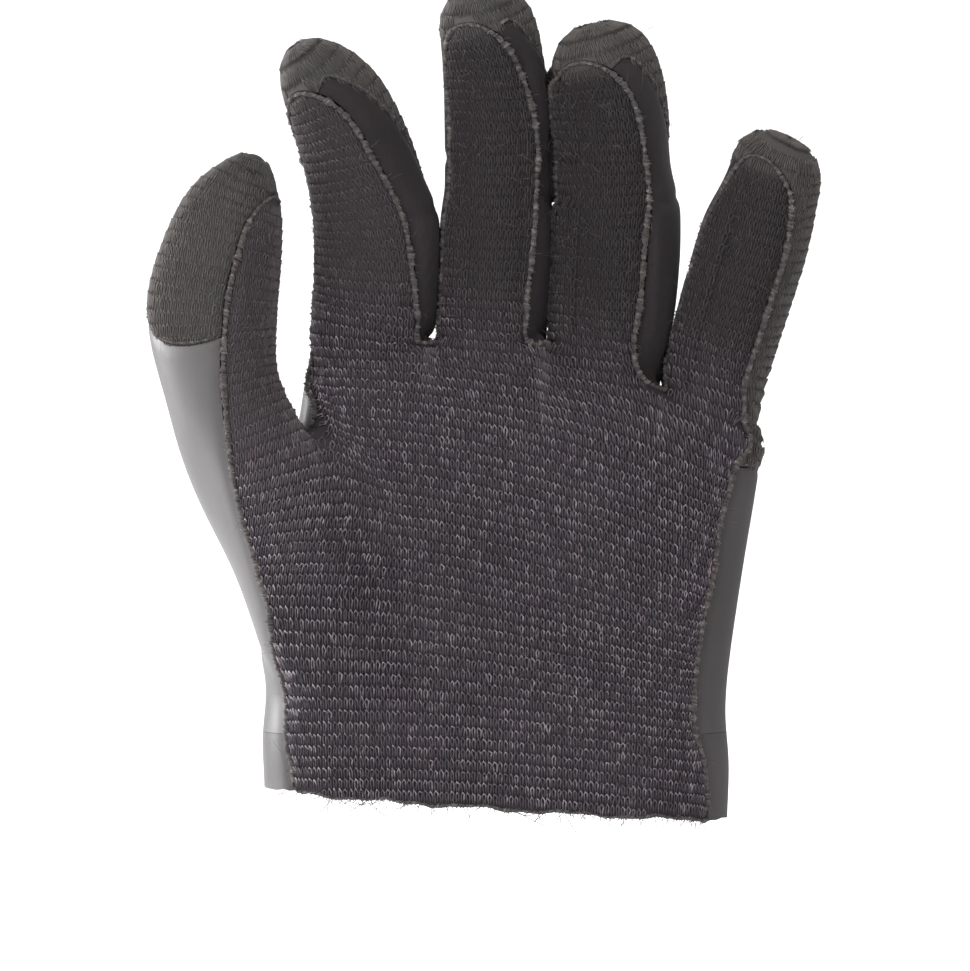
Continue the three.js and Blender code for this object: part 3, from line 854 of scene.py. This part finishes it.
LOOP_PATH = np.array([
    [-0.20, -0.86, -0.04],
    [-0.20, -0.42, 0.16],
    [-0.34, 0.02, 0.26],
    [-0.12, 0.34, 0.48],
    [0.30, 0.10, 0.38],
    [0.22, -0.38, 0.18],
    [0.20, -0.86, -0.04],
])
# Painted light along each loop's path: a painted highlight on the arch's top and right shoulder, painted
# shade at the feet
LOOP_PAINTED_LIGHT = np.array([0.42, 0.50, 0.55, 1.00, 0.82, 0.50, 0.42])
LOOP_SIDES = 3
LOOP_HEM = 0.9
LOOP_SEAM = 0.7
LOOP_UNEVEN = 0.12
LOOP_JITTER = np.array([0.5, 0.4, 0.6])
LEVEL_UNEVEN = 0.11
STRETCH = (0.75, 1.7)
FINE_FLATTENING = 0.5
FINE_CONTRAST = 0.45
THINNEST = 1e-4


def fabric_sides(patch):
    """How far the second and third corner of each face lie from the first, in columns and rows."""
    u, v = patch["u"][patch["tris"]], patch["v"][patch["tris"]]
    return u[:, 1] - u[:, 0], u[:, 2] - u[:, 0], v[:, 1] - v[:, 0], v[:, 2] - v[:, 0]


def fabric_axes(patch):
    """Vectors of one column and of one row at each vertex."""
    verts, tris = patch["verts"], patch["tris"]
    a, b, c = verts[tris].transpose(1, 0, 2)
    u1, u2, v1, v2 = fabric_sides(patch)
    det = u1 * v2 - u2 * v1
    det = np.where(np.abs(det) < THINNEST, THINNEST, det)
    column = ((b - a) * v2[:, None] - (c - a) * v1[:, None]) / det[:, None]
    row = ((c - a) * u1[:, None] - (b - a) * u2[:, None]) / det[:, None]
    area = np.abs(det)[:, None]
    weight = np.maximum(vertex_sums(tris, area, len(verts)), 1e-9)
    return [vertex_sums(tris, vector * area, len(verts)) / weight for vector in (column, row)]


def lattice_points(patch):
    """Places on a patch where the fabric's coordinates are whole numbers, with their axes and mood."""
    tris = patch["tris"]
    column, row = fabric_axes(patch)
    mood = np.stack([patch[name] for name in MOOD], axis=1)
    u, v = patch["u"][tris], patch["v"][tris]
    u1, u2, v1, v2 = fabric_sides(patch)
    det = u1 * v2 - u2 * v1
    flat = np.abs(det) < 1e-6
    safe = np.where(flat, 1e-6, det)
    found = []
    for i in range(3):
        for j in range(3):
            off_u = np.ceil(u.min(axis=1)) + i - u[:, 0]
            off_v = np.ceil(v.min(axis=1)) + j - v[:, 0]
            w1 = (off_u * v2 - u2 * off_v) / safe
            w2 = (u1 * off_v - off_u * v1) / safe
            hit = (w1 >= 0) & (w2 >= 0) & (w1 + w2 < 1) & ~flat
            weights = np.stack([1 - w1 - w2, w1, w2], axis=1)[hit]
            corners = tris[hit]
            found.append([
                np.sum(weights[:, :, None] * data[corners], axis=1)
                for data in (patch["verts"], patch["normals"], column, row, mood)
            ])
    return [np.vstack([f[i] for f in found]) for i in range(5)]


def limited(vector, pitch):
    length = np.linalg.norm(vector, axis=1, keepdims=True)
    return vector / np.maximum(length, 1e-9) * np.clip(length, STRETCH[0] * pitch, STRETCH[1] * pitch)


def knit_loops(patch):
    """One closed loop of yarn at each place of the lattice, as one mesh, with its data for the material.
    Its level is painted light: a painted highlight at the top of the arch, painted shade at its feet."""
    clear = clip(patch, patch["hem"] - LOOP_HEM)
    clear = clip(clear, np.abs(clear["front"]) - LOOP_SEAM)
    centre, normal, column, row, mood = lattice_points(clear)
    fine = mood[:, :1]
    normal = unit(normal)
    count = len(centre)
    jitter = rng.normal(0, LOOP_UNEVEN, (count, len(LOOP_PATH), 3)) * LOOP_JITTER
    shape = LOOP_PATH[None] + jitter
    tall = 1 + rng.normal(0, LOOP_UNEVEN, (count, 1))
    path = placed(
        centre,
        (limited(column, COLUMN), shape[..., 0]),
        (limited(row, ROW), shape[..., 1]),
        (normal, shape[..., 2] * tall * (1 - FINE_FLATTENING * fine)),
    )
    made, tris = strands(path, normal, YARN)
    # Painted light on each loop, uneven from loop to loop, with less contrast on the fingers
    level = LOOP_PAINTED_LIGHT[None] + rng.normal(0, LEVEL_UNEVEN, (count, 1))
    level = np.clip(0.5 + (level - 0.5) * (1 - FINE_CONTRAST * fine), 0, 1)
    inner = np.repeat(level[:, 1:-1], LOOP_SIDES, axis=1)
    data = {"level": np.concatenate([inner, level[:, :1], level[:, -1:]], axis=1).ravel()}
    for i, name in enumerate(MOOD):
        data[name] = np.repeat(mood[:, i], len(made) // count)
    return made, tris, data


def strands(path, normal, radius):
    """Tubes that come to a point at both ends, along paths of equal length."""
    count, steps, _ = path.shape
    along = unit(path[:, 2:] - path[:, :-2])
    level = unit(np.cross(along, normal[:, None, :]))
    turn = 2 * math.pi * (np.arange(LOOP_SIDES) / LOOP_SIDES) + math.pi / 2
    up = np.cross(level, along)
    rings = placed(path[:, 1:-1], (level, radius * np.cos(turn)), (up, radius * np.sin(turn)))
    verts = np.concatenate([rings.reshape(count, -1, 3), path[:, :1], path[:, -1:]], axis=1)
    start = (steps - 2) * LOOP_SIDES
    last = start - LOOP_SIDES
    template = []
    for i in range(LOOP_SIDES):
        j = (i + 1) % LOOP_SIDES
        template.append((start, j, i))
        for low in range(0, last, LOOP_SIDES):
            high = low + LOOP_SIDES
            template.append((low + i, low + j, high + j))
            template.append((low + i, high + j, high + i))
        template.append((start + 1, last + i, last + j))
    first = np.arange(count) * (start + 2)
    tris = (np.array(template)[None] + first[:, None, None]).reshape(-1, 3)
    return verts.reshape(-1, 3), tris


# Seam ridges along the edges of a patch

def chains(edges):
    """Joins directed edges into lists of vertices, each one unbroken."""
    following = {int(a): int(b) for a, b in edges}
    starts = set(following) - set(following.values())
    result = []
    while following:
        start = starts.pop() if starts else next(iter(following))
        line = [start]
        while line[-1] in following:
            line.append(following.pop(line[-1]))
        result.append(line)
    return result


SOFTENING = 7
RIDGE_STEP = 0.42
RIDGE_SIDES = 7
RIDGE_TAPER = 3
TIP_FLATTENING = 0.5
LUMP = 1.9
LUMP_WANDER = 0.9
LUMP_UNEVEN = 0.16
LUMP_LENGTH = 4
LUMP_DRIFT = 0.3
LUMP_LIFT = 0.12
SWELL = (0.74, 0.30)
# Level of a seam's roll: a base, and a painted highlight that grows with each lump
ROLL_LEVEL_AND_PAINTED_HIGHLIGHT = (0.25, 0.45)
ROLL_UNEVEN = 0.2
END_LEVEL = 0.4
ROUGHNESS = 0.07
GRAIN = 0.06
SHIFT = 0.05
STITCH_SPACING = 2
STITCH_STEPS = 6
STITCH_RADIUS = 0.11
STITCH_TURN = (-25, 205)
STITCH_WIDTH = (1.05, 1.3)
STITCH_SLANT = (0.5, 0.35)
STITCH_LEVEL = (0.35, 1.0)
SHORTEST_LINE = 6.0


def resampled(lines, step):
    """Evenly spaced, softened copies of a polyline and of the data that goes with it."""
    apart = np.linalg.norm(np.diff(lines[0], axis=0), axis=1)
    length = np.concatenate([[0], np.cumsum(apart)])
    count = max(int(length[-1] / step), 2)
    at = np.linspace(0, length[-1], count)
    kernel = np.ones(SOFTENING) / SOFTENING
    pad = SOFTENING // 2
    out = []
    for data in lines:
        even = np.stack([np.interp(at, length, data[:, i]) for i in range(3)], axis=1)
        if count > SOFTENING + 1:
            padded = np.vstack([np.repeat(even[:1], pad, axis=0), even, np.repeat(even[-1:], pad, axis=0)])
            even = np.stack([np.convolve(padded[:, i], kernel, mode="valid") for i in range(3)], axis=1)
        out.append(even)
    return out


def ridge(line, radius=0.66, lift=0.3, inset=0.45):
    """A lumpy roll of cloth along a line on the surface with stitches over it, each as vertices,
    faces and level for the material. It lies flatter over the fingertips."""
    points, normals, inward, tip = resampled(line, RIDGE_STEP)
    flat = 1 - TIP_FLATTENING * np.clip(tip[:, 0], 0, 1)
    count = len(points)
    normals = unit(normals)
    along = unit(np.gradient(points, axis=0))
    across = unit(np.cross(along, normals))
    distance = np.arange(count) * RIDGE_STEP
    phase = distance / LUMP * math.pi + rng.normal(0, LUMP_WANDER, count).cumsum() * LUMP_DRIFT
    lump = np.abs(np.sin(phase))
    uneven = np.repeat(rng.normal(0, LUMP_UNEVEN, count), LUMP_LENGTH)[:count]
    swell = SWELL[0] + SWELL[1] * lump + uneven + rng.normal(0, ROUGHNESS, count)
    raised = flat * (lift + LUMP_LIFT * lump)
    centre = points + unit(inward) * inset + normals * raised[:, None]
    centre += rng.normal(0, SHIFT, centre.shape)
    from_end = np.minimum(np.arange(count) + 1, np.arange(count)[::-1] + 1)
    taper = np.minimum(1, from_end / RIDGE_TAPER)
    turn = 2 * math.pi * np.arange(RIDGE_SIDES) / RIDGE_SIDES
    size = (radius * swell * taper * flat)[:, None]
    wide = size * (1 + rng.normal(0, GRAIN, (count, RIDGE_SIDES, 1)))[..., 0]
    verts, faces = loft(placed(centre, (across, wide * np.cos(turn)), (normals, wide * np.sin(turn))))
    tris = []
    for a, b, c, *rest in faces:
        tris.append((a, b, c))
        tris.extend((a, c, d) for d in rest)
    # Painted highlight on the crest of each lump, with random unevenness
    level = ROLL_LEVEL_AND_PAINTED_HIGHLIGHT[0] + ROLL_LEVEL_AND_PAINTED_HIGHLIGHT[1] * lump[:, None]
    level = level + rng.normal(0, ROLL_UNEVEN, (count, RIDGE_SIDES))
    roll = (verts, np.array(tris), np.concatenate([level.ravel(), [END_LEVEL, END_LEVEL]]))
    at = np.arange(1, count - 1, STITCH_SPACING)
    if len(at) < 2:
        return [roll]
    over = np.radians(np.linspace(*STITCH_TURN, STITCH_STEPS))
    wide = size[at] * rng.uniform(*STITCH_WIDTH, (len(at), 1, 1))[..., 0]
    slant = np.linspace(-0.5, 0.5, STITCH_STEPS) * rng.normal(*STITCH_SLANT, (len(at), 1, 1))[..., 0]
    path = placed(
        centre[at],
        (across[at], wide * np.cos(over)),
        (normals[at], wide * np.sin(over)),
        (along[at], slant),
    )
    path += rng.normal(0, SHIFT, path.shape)
    made, made_tris = strands(path, normals[at], STITCH_RADIUS)
    tone_and_painted_light = np.repeat(rng.uniform(*STITCH_LEVEL, len(at)), len(made) // len(at))
    return [roll, (made, made_tris, tone_and_painted_light)]


def merged(meshes):
    """Several meshes with a level each as one mesh, and its data for the material."""
    verts, tris, levels = zip(*meshes)
    offsets = np.cumsum([0, *map(len, verts)])
    tris = np.vstack([part + offset for part, offset in zip(tris, offsets)])
    level = np.clip(np.concatenate(levels), 0, 1)
    return {"verts": np.vstack(verts), "tris": tris, "data": plain_data(level)}


def edge_lines(patch, keep):
    """Lines along a patch's edge where keep is true: points, normals, the way inwards and the tip."""
    rim = rim_edges(patch["tris"])
    verts, normals = patch["verts"], patch["normals"]
    chosen = rim[keep[rim].all(axis=1)]
    lines = []
    for line in chains(chosen):
        points = verts[line]
        if np.linalg.norm(np.diff(points, axis=0), axis=1).sum() < SHORTEST_LINE:
            continue
        along = unit(np.gradient(points, axis=0) + 1e-9)
        tip = np.repeat(patch["tip"][line][:, None], 3, axis=1)
        lines.append((points, normals[line], unit(np.cross(normals[line], along)), tip))
    return lines


# Materials

def nodes_of(name):
    material = bpy.data.materials.new(name)
    material.use_nodes = True
    tree = material.node_tree
    return material, tree, tree.nodes["Principled BSDF"]


def feed(tree, node, inputs):
    """Sets a node's inputs, each to a value or from another node's output."""
    for key, value in inputs.items():
        if isinstance(value, bpy.types.NodeSocket):
            tree.links.new(value, node.inputs[key])
        else:
            node.inputs[key].default_value = value


def add_node(tree, kind, inputs, output, **settings):
    """One output of a new shader node."""
    node = tree.nodes.new(f"ShaderNode{kind}")
    for key, value in settings.items():
        setattr(node, key, value)
    feed(tree, node, inputs)
    return node.outputs[output]


def object_place(tree):
    coordinates = tree.nodes.get("coordinates") or tree.nodes.new("ShaderNodeTexCoord")
    coordinates.name = "coordinates"
    return coordinates.outputs["Object"]


def noise(tree, scale, detail=3.0, rough=0.55, output="Fac"):
    inputs = {"Scale": scale, "Detail": detail, "Roughness": rough, "Vector": object_place(tree)}
    return add_node(tree, "TexNoise", inputs, output)


def ramp(tree, source, stops):
    node = tree.nodes.new("ShaderNodeValToRGB")
    elements = node.color_ramp.elements
    while len(elements) < len(stops):
        elements.new(0.5)
    for element, (place, color) in zip(elements, stops):
        element.position = place
        element.color = (*color, 1.0)
    tree.links.new(source, node.inputs["Fac"])
    return node.outputs["Color"]


def attribute(tree, name, output="Fac"):
    return add_node(tree, "Attribute", {}, output, attribute_name=name)


def mix(tree, first, second, factor, blend="MIX"):
    inputs = {"Factor": factor, "A": first, "B": second}
    return add_node(tree, "Mix", inputs, "Result", data_type="RGBA", blend_type=blend)


def tinted(tree, first, second):
    return mix(tree, first, second, 1.0, "MULTIPLY")


def product(tree, first, second):
    return add_node(tree, "Math", {0: first, 1: second}, "Value", operation="MULTIPLY")


def ranged(tree, source, low, high, start=0.0, end=1.0):
    """A value from start to end brought to the range from low to high."""
    inputs = {"From Min": start, "From Max": end, "To Min": low, "To Max": high, "Value": source}
    return add_node(tree, "MapRange", inputs, "Result")


def bumps(tree, height, strength, distance):
    inputs = {"Strength": strength, "Distance": distance, "Height": height}
    return add_node(tree, "Bump", inputs, "Normal")


# Where the smooth skin turns matt, on the little finger's side and to the front, in metres
MATT_START = 0.020
MATT_FULL = 0.042
MATT_BACK = 0.012
MATT_FRONT = 0.002
YARN_STOPS = (0.12, 0.55, 0.98)


def yarn_material(name, coarse, fine, tip, tint):
    """Matt, slightly hairy yarn, with lighter and darker loops and a faint cast in patches. It takes
    dark, middle and light shades for the coarse palm, the fine fingers and the worn tips. The level is
    painted light on the loops, and each digit's shade is painted light on its knit."""
    material, tree, bsdf = nodes_of(name)
    fibre = noise(tree, 5200, rough=0.7)
    loops = ranged(tree, noise(tree, 750, detail=2.0), 0.45, 1.15, 0.3, 0.7)
    # Painted light: highlights on the loops' arches and shade at their feet
    level = product(tree, attribute(tree, "level"), loops)
    ramps = [ramp(tree, level, list(zip(YARN_STOPS, stops))) for stops in (coarse, fine, tip)]
    shades = mix(tree, ramps[0], ramps[1], attribute(tree, "fine"))
    # Painted light of each digit
    shades = tinted(tree, shades, attribute(tree, "tone_and_painted_light", "Color"))
    shades = mix(tree, shades, ramps[2], attribute(tree, "tip"))
    cast = ramp(tree, noise(tree, 70, detail=2.0), [(0.35, (1.0, 1.0, 1.0)), (0.65, tint)])
    feed(tree, bsdf, {
        "Base Color": tinted(tree, shades, cast),
        "Roughness": ranged(tree, fibre, 0.78, 0.98),
        "Specular IOR Level": 0.15,
        "Sheen Weight": 0.06,
        "Sheen Roughness": 0.6,
        "Normal": bumps(tree, fibre, 0.5, 0.00008),
    })
    return material


def cloth_material(name, dark, light, scale, sheen, specular, fine=None, tip=None):
    """Fine jersey: tiny bumps, faint lighter patches. Under the loops it has a colour on the fingers that
    is darker as painted shade and brightened or darkened by each digit's painted light, and another on
    the tips."""
    material, tree, bsdf = nodes_of(name)
    grain = noise(tree, scale, detail=2.0, rough=0.6)
    patches = noise(tree, 45)
    fleck = ramp(tree, grain, [(0.35, (0.75, 0.75, 0.75)), (0.7, (1.15, 1.12, 1.12))])
    color = tinted(tree, ramp(tree, patches, [(0.35, dark), (0.7, light)]), fleck)
    if fine:
        plain = ramp(tree, patches, [(0.3, fine), (0.7, fine)])
        plain = tinted(tree, plain, attribute(tree, "tone_and_painted_light", "Color"))
        color = mix(tree, color, plain, attribute(tree, "fine"))
        worn = ramp(tree, patches, [(0.3, tip), (0.7, tip)])
        color = mix(tree, color, worn, attribute(tree, "tip"))
    feed(tree, bsdf, {
        "Base Color": color,
        "Roughness": ranged(tree, grain, 0.68, 0.9),
        "Specular IOR Level": specular,
        "Sheen Weight": sheen,
        "Sheen Roughness": 0.5,
        "Normal": bumps(tree, grain, 0.6, 0.00012),
    })
    return material


def skin_material(name, dark, light, satin_specular):
    """Smooth rubber skin: satin, with faint grain, slight unevenness and handling marks."""
    material, tree, bsdf = nodes_of(name)
    patches = noise(tree, 30, detail=4.0, rough=0.6)
    place = tree.nodes.new("ShaderNodeSeparateXYZ")
    feed(tree, place, {"Vector": object_place(tree)})
    matt = product(
        tree,
        ranged(tree, place.outputs["X"], 0.0, 1.0, MATT_START, MATT_FULL),
        ranged(tree, place.outputs["Y"], 0.0, 1.0, MATT_BACK, MATT_FRONT),
    )
    satin = ranged(tree, patches, 0.36, 0.50)
    grain = noise(tree, 3800, detail=2.0, rough=0.5, output="Color")
    height = mix(tree, grain, noise(tree, 120, output="Color"), 0.5)
    feed(tree, bsdf, {
        "Base Color": ramp(tree, patches, [(0.3, dark), (0.72, light)]),
        "Roughness": add_node(tree, "Mix", {"Factor": matt, "A": satin, "B": 0.85}, "Result"),
        "Specular IOR Level": ranged(tree, matt, satin_specular, 0.3),
        "Normal": bumps(tree, height, 0.45, 0.0003),
    })
    return material


# Dark, middle and light yarn for the level, so the spread between them is painted light. The fingers' yarn
# is darker than the palm's, as painted shade on the fingers.
COARSE = ((0.030, 0.026, 0.030), (0.066, 0.059, 0.067), (0.260, 0.245, 0.256))
FINE_IN_PAINTED_SHADE = ((0.014, 0.012, 0.013), (0.023, 0.020, 0.021), (0.042, 0.038, 0.040))
TIPS = ((0.037, 0.034, 0.033), (0.062, 0.058, 0.056), (0.095, 0.089, 0.087))
SEAM = ((0.022, 0.019, 0.020), (0.056, 0.051, 0.050), (0.135, 0.124, 0.118))
PALM_YARN = yarn_material("palm_yarn", COARSE, FINE_IN_PAINTED_SHADE, TIPS, (1.06, 0.93, 1.0))
TIP_YARN = yarn_material("tip_yarn", COARSE, FINE_IN_PAINTED_SHADE, TIPS, (1.05, 0.98, 0.93))
SEAM_YARN = yarn_material("seam_yarn", SEAM, SEAM, SEAM, (1.04, 0.97, 0.95))
# The ground under the loops: a dark backing with painted shade in the holes between them, darker still as
# painted shade on the fingers, and lighter on the tips.
SHADED_KNIT_GROUND = cloth_material(
    "shaded_knit_ground", (0.018, 0.015, 0.018), (0.029, 0.025, 0.029), 2600, 0.0, 0.05,
    fine=(0.015, 0.013, 0.014), tip=(0.044, 0.041, 0.040),
)
# The strips between the fingers: dark cloth, darkened further as painted shade in the slots
SHADED_SIDE_CLOTH = cloth_material("side_cloth", (0.011, 0.009, 0.010), (0.018, 0.015, 0.017), 3000, 0.04, 0.15)
SKIN = skin_material("smooth_skin", (0.030, 0.027, 0.027), (0.040, 0.037, 0.037), 0.58)
CUFF_SKIN = skin_material("cuff_skin", (0.026, 0.023, 0.023), (0.036, 0.033, 0.033), 0.42)


# The surface and its panels

CUFF_GAP = 0.04
SEAM_SINK = 0.45
TIP_LEVELLING = 0.85
TIP_CLOSING = 0.85
SEAM_WIDTH = 1.3
WAVE = 0.35
WAVE_FADE = (-8.0, 0.0)
# Size, turns and start of each part of the hem's wave
WAVES = ((1.0, 0.31, 0.0), (0.6, 0.83, 1.0), (0.4, 2.1, 0.0))

verts, tris = fused_surface()
verts = smoothed(verts, tris)
fields = surface_fields(verts)
seam_distance = np.minimum(
    np.abs(fields["front"]),
    np.where(fields["front"] < 0, np.minimum(np.abs(fields["strips"]), np.abs(fields["caps"])), FAR),
)
normals = vertex_normals(verts, tris)
verts = pressed_together(verts, normals, fields)
sink = SEAM_SINK * (1 - TIP_LEVELLING * fields["tip"]) * np.exp(-(seam_distance / SEAM_WIDTH) ** 2)
verts = verts - normals * sink[:, None]
surface = {"verts": verts, "normals": vertex_normals(verts, tris), "tris": tris, **fields}

hem_wave = WAVE * sum(size * np.sin(verts[:, 0] * turns + start) for size, turns, start in WAVES)
surface["hem"] = surface["hem"] + hem_wave * smoothstep(*WAVE_FADE, surface["front"])
surface = clip(surface, surface["hem"])

gap = HALF_GAP * (1 - TIP_CLOSING * surface["tip"])
palm = largest(clip(surface, surface["front"] - gap))
behind = clip(surface, -surface["front"] - gap)
add_piece("palm_panel", *shell(palm, WALL), SHADED_KNIT_GROUND, "palm_knit", "palm_panel", data=ground_data(palm))

strips = []
for i, name in enumerate(["index_middle", "middle_ring", "ring_little"]):
    strip = largest(clip(behind, behind[f"strip_{i}"] - HALF_GAP))
    strips.append(strip)
    add_piece(f"{name}_fourchette", *shell(strip, WALL), SHADED_SIDE_CLOTH, "side_cloth", f"{name}_fourchette")
rest = clip(behind, -behind["strips"] - HALF_GAP)
caps = []
for i, digit in enumerate(DIGITS):
    cap = largest(clip(rest, rest[f"cap_{i}"] - HALF_GAP))
    cap["tip"] = np.ones(len(cap["verts"]))
    caps.append(cap)
    name = f"{digit['name']}_cap"
    add_piece(name, *shell(cap, WALL), SHADED_KNIT_GROUND, "tip_knit", name, data=ground_data(cap))
plain = clip(rest, -rest["caps"] - HALF_GAP)
cuff = largest(clip(plain, plain["cuff"] - CUFF_GAP))
back = largest(clip(plain, -plain["cuff"] - CUFF_GAP))
add_piece("cuff_band", *shell(cuff, WALL), CUFF_SKIN, "smooth_skin", "cuff_band")
add_piece("back_panel", *shell(back, WALL), SKIN, "smooth_skin", "back_panel")

# The knit: the palm and the fingers each in one mesh, and one for each cap
FINGER_START = 96.0
on_palm = palm["verts"][palm["tris"]][:, :, 2].mean(axis=1) < FINGER_START


def add_knit(name, patch, material, slot):
    made, made_tris, data = knit_loops(patch)
    add_piece(name, made, made_tris, material, slot, sharp=False, data=data)


add_knit("palm_loops", subset(palm, on_palm), PALM_YARN, "palm_knit")
add_knit("finger_loops", subset(palm, ~on_palm), PALM_YARN, "palm_knit")
for cap, digit in zip(caps, DIGITS):
    add_knit(f"{digit['name']}_cap_loops", cap, TIP_YARN, "tip_knit")

# Ridges along the edges of the palm panel, of the caps and of the strips between the fingers, and a
# thin frayed line along the raw edge at the wrist
HEM_MARGIN = 1.5
SEAM_APART = 1.2


def add_ridges(name, lines, slot, **sizes):
    joined = merged([part for line in lines for part in ridge(line, **sizes)])
    add_piece(name, **joined, material=SEAM_YARN, slot=slot, sharp=False)


add_ridges("palm_seam", edge_lines(palm, palm["hem"] > HEM_MARGIN), "palm_knit")
cap_lines = []
for cap in caps:
    cap_lines.extend(edge_lines(cap, np.abs(cap["front"]) > SEAM_APART))
add_ridges("cap_seams", cap_lines, "tip_knit", radius=0.6, lift=0.25)
strip_lines = []
for strip in strips:
    apart = (np.abs(strip["front"]) > SEAM_APART) & (strip["caps"] < -SEAM_APART)
    strip_lines.extend(edge_lines(strip, apart))
add_ridges("strip_seams", strip_lines, "side_cloth", radius=0.45, lift=0.1)
hem_lines = edge_lines(palm, palm["hem"] < HEM_MARGIN)
add_ridges("raw_edge", hem_lines, "palm_knit", radius=0.34, lift=-0.1, inset=0.1)

# Fuzz that stands out of the knit, and loose threads at the wrist
HAIRS = 2600
CAP_HAIRS = HAIRS // 12
HAIR_STEPS = 5
HAIR_LENGTH = (0.5, 2.2)
HAIR_RADIUS = 0.035
HAIR_LEVEL = 0.8
HAIR_RISE = 0.7
HAIR_LEAN = 0.8
HAIR_BEND = 0.7
HAIR_START = 0.3
THREADS = 150
THREAD_STEPS = 7
THREAD_LENGTH = (1.0, 4.5)
THREAD_RADIUS = 0.09
THREAD_LEVEL = 0.7
THREAD_SHORTER = (0.3, 1)
THREAD_LEAN = np.array([0.9, 0.0, 0.0])
THREAD_FALL = np.array([0.0, 0.0, -0.8])
THREAD_OUT = (-0.1, 0.5)
THREAD_BEND = 0.45
THREAD_START = np.array([0.0, 0.0, 0.6])


def fuzz(patch, count):
    """Fine hairs that lean and bend away from random places of a patch."""
    chosen = rng.integers(0, len(patch["verts"]), count)
    normal = unit(patch["normals"][chosen])
    length = rng.uniform(*HAIR_LENGTH, (count, 1, 1))
    share = np.linspace(0, 1, HAIR_STEPS)[None, :, None]
    lean = rng.normal(0, HAIR_LEAN, (count, 1, 3))
    bend = rng.normal(0, HAIR_BEND, (count, 1, 3)) * share
    outward = normal[:, None, :]
    path = patch["verts"][chosen][:, None, :] + length * share * (outward * HAIR_RISE + lean + bend)
    return strands(path + outward * HAIR_START, normal, HAIR_RADIUS)


def loose_threads():
    """Short curling threads that hang from the wrist edge of the palm panel."""
    rim = np.unique(rim_edges(palm["tris"]))
    rim = rim[palm["hem"][rim] < HEM_MARGIN]
    chosen = rng.choice(rim, THREADS)
    normal = unit(palm["normals"][chosen])
    each = (THREADS, 1, 1)
    length = rng.uniform(*THREAD_LENGTH, each) * rng.uniform(*THREAD_SHORTER, each)
    share = np.linspace(0, 1, THREAD_STEPS)[None, :, None]
    lean = rng.normal(0, 1, each) * THREAD_LEAN
    fall = THREAD_FALL + lean + normal[:, None, :] * rng.uniform(*THREAD_OUT, each)
    bend = rng.normal(0, THREAD_BEND, (THREADS, 1, 3)) * share ** 2
    path = palm["verts"][chosen][:, None, :] + length * share * (fall + bend) + THREAD_START * (1 - share)
    return strands(path, normal, THREAD_RADIUS)


def add_hairs(name, made, made_tris, level, slot):
    data = plain_data(np.full(len(made), level))
    add_piece(name, made, made_tris, SEAM_YARN, slot, sharp=False, data=data)


add_hairs("palm_fuzz", *fuzz(palm, HAIRS), HAIR_LEVEL, "palm_knit")
for cap, digit in zip(caps, DIGITS):
    add_hairs(f"{digit['name']}_cap_fuzz", *fuzz(cap, CAP_HAIRS), HAIR_LEVEL, "tip_knit")
add_hairs("raw_threads", *loose_threads(), THREAD_LEVEL, "palm_knit")


# Stage, light and camera

stage_material, stage_tree, stage_bsdf = nodes_of("pale_stage")
feed(stage_tree, stage_bsdf, {"Base Color": (0.93, 0.93, 0.94, 1.0), "Roughness": 0.9})
FLOOR_HEIGHT = -0.05
SWEEP_START = 1.2
SWEEP_RADIUS = 1.5
SWEEP_SIDES = 24
STAGE_HALF = 6.0


def sweep():
    """Floor that curves up into the backdrop behind the glove."""
    profile = [(-STAGE_HALF, FLOOR_HEIGHT)]
    for i in range(SWEEP_SIDES + 1):
        turn = math.pi / 2 * i / SWEEP_SIDES
        depth = SWEEP_START + SWEEP_RADIUS * math.sin(turn)
        profile.append((depth, FLOOR_HEIGHT + SWEEP_RADIUS * (1 - math.cos(turn))))
    profile.append((SWEEP_START + SWEEP_RADIUS, FLOOR_HEIGHT + STAGE_HALF))
    points = [(x, y, z) for y, z in profile for x in (-STAGE_HALF, STAGE_HALF)]
    faces = [(i, i + 1, i + 3, i + 2) for i in range(0, len(points) - 2, 2)]
    mesh = bpy.data.meshes.new("sweep")
    mesh.from_pydata(points, [], faces)
    mesh.shade_smooth()
    made = bpy.data.objects.new("sweep", mesh)
    bpy.context.scene.collection.objects.link(made)
    return made


stage = sweep()
stage.data.materials.append(stage_material)

world = bpy.data.worlds.new("studio")
bpy.context.scene.world = world
world.use_nodes = True
background = world.node_tree.nodes["Background"]
feed(world.node_tree, background, {"Color": (1.0, 1.0, 1.0, 1.0), "Strength": 1.3})


def area_light(name, place, target, size, power):
    data = bpy.data.lights.new(name, "AREA")
    data.shape = "DISK"
    data.size = size
    data.energy = power
    light = bpy.data.objects.new(name, data)
    bpy.context.scene.collection.objects.link(light)
    light.location = place
    light.rotation_euler = (Vector(target) - Vector(place)).to_track_quat("-Z", "Y").to_euler()


area_light("key", (-0.55, -0.75, 0.95), (0, 0, 0.08), 0.5, 12.0)
area_light("left", (-1.1, 0.15, 0.30), (0, 0, 0.07), 0.9, 26.0)

bpy.context.scene.view_settings.view_transform = "Standard"

CAMERA_DISTANCE = 0.85
VIEW_WIDTH = 0.2205
VIEW_MIDDLE = (-0.0034, 0.0715)
camera_data = bpy.data.cameras.new("camera")
camera_data.sensor_width = 36.0
camera_data.lens = camera_data.sensor_width * CAMERA_DISTANCE / VIEW_WIDTH
camera_data.clip_start = 0.01
camera = bpy.data.objects.new("camera", camera_data)
bpy.context.scene.collection.objects.link(camera)
camera.location = (VIEW_MIDDLE[0], -CAMERA_DISTANCE, VIEW_MIDDLE[1])
camera.rotation_euler = (math.radians(90), 0, 0)
bpy.context.scene.camera = camera

bpy.context.view_layer.update()
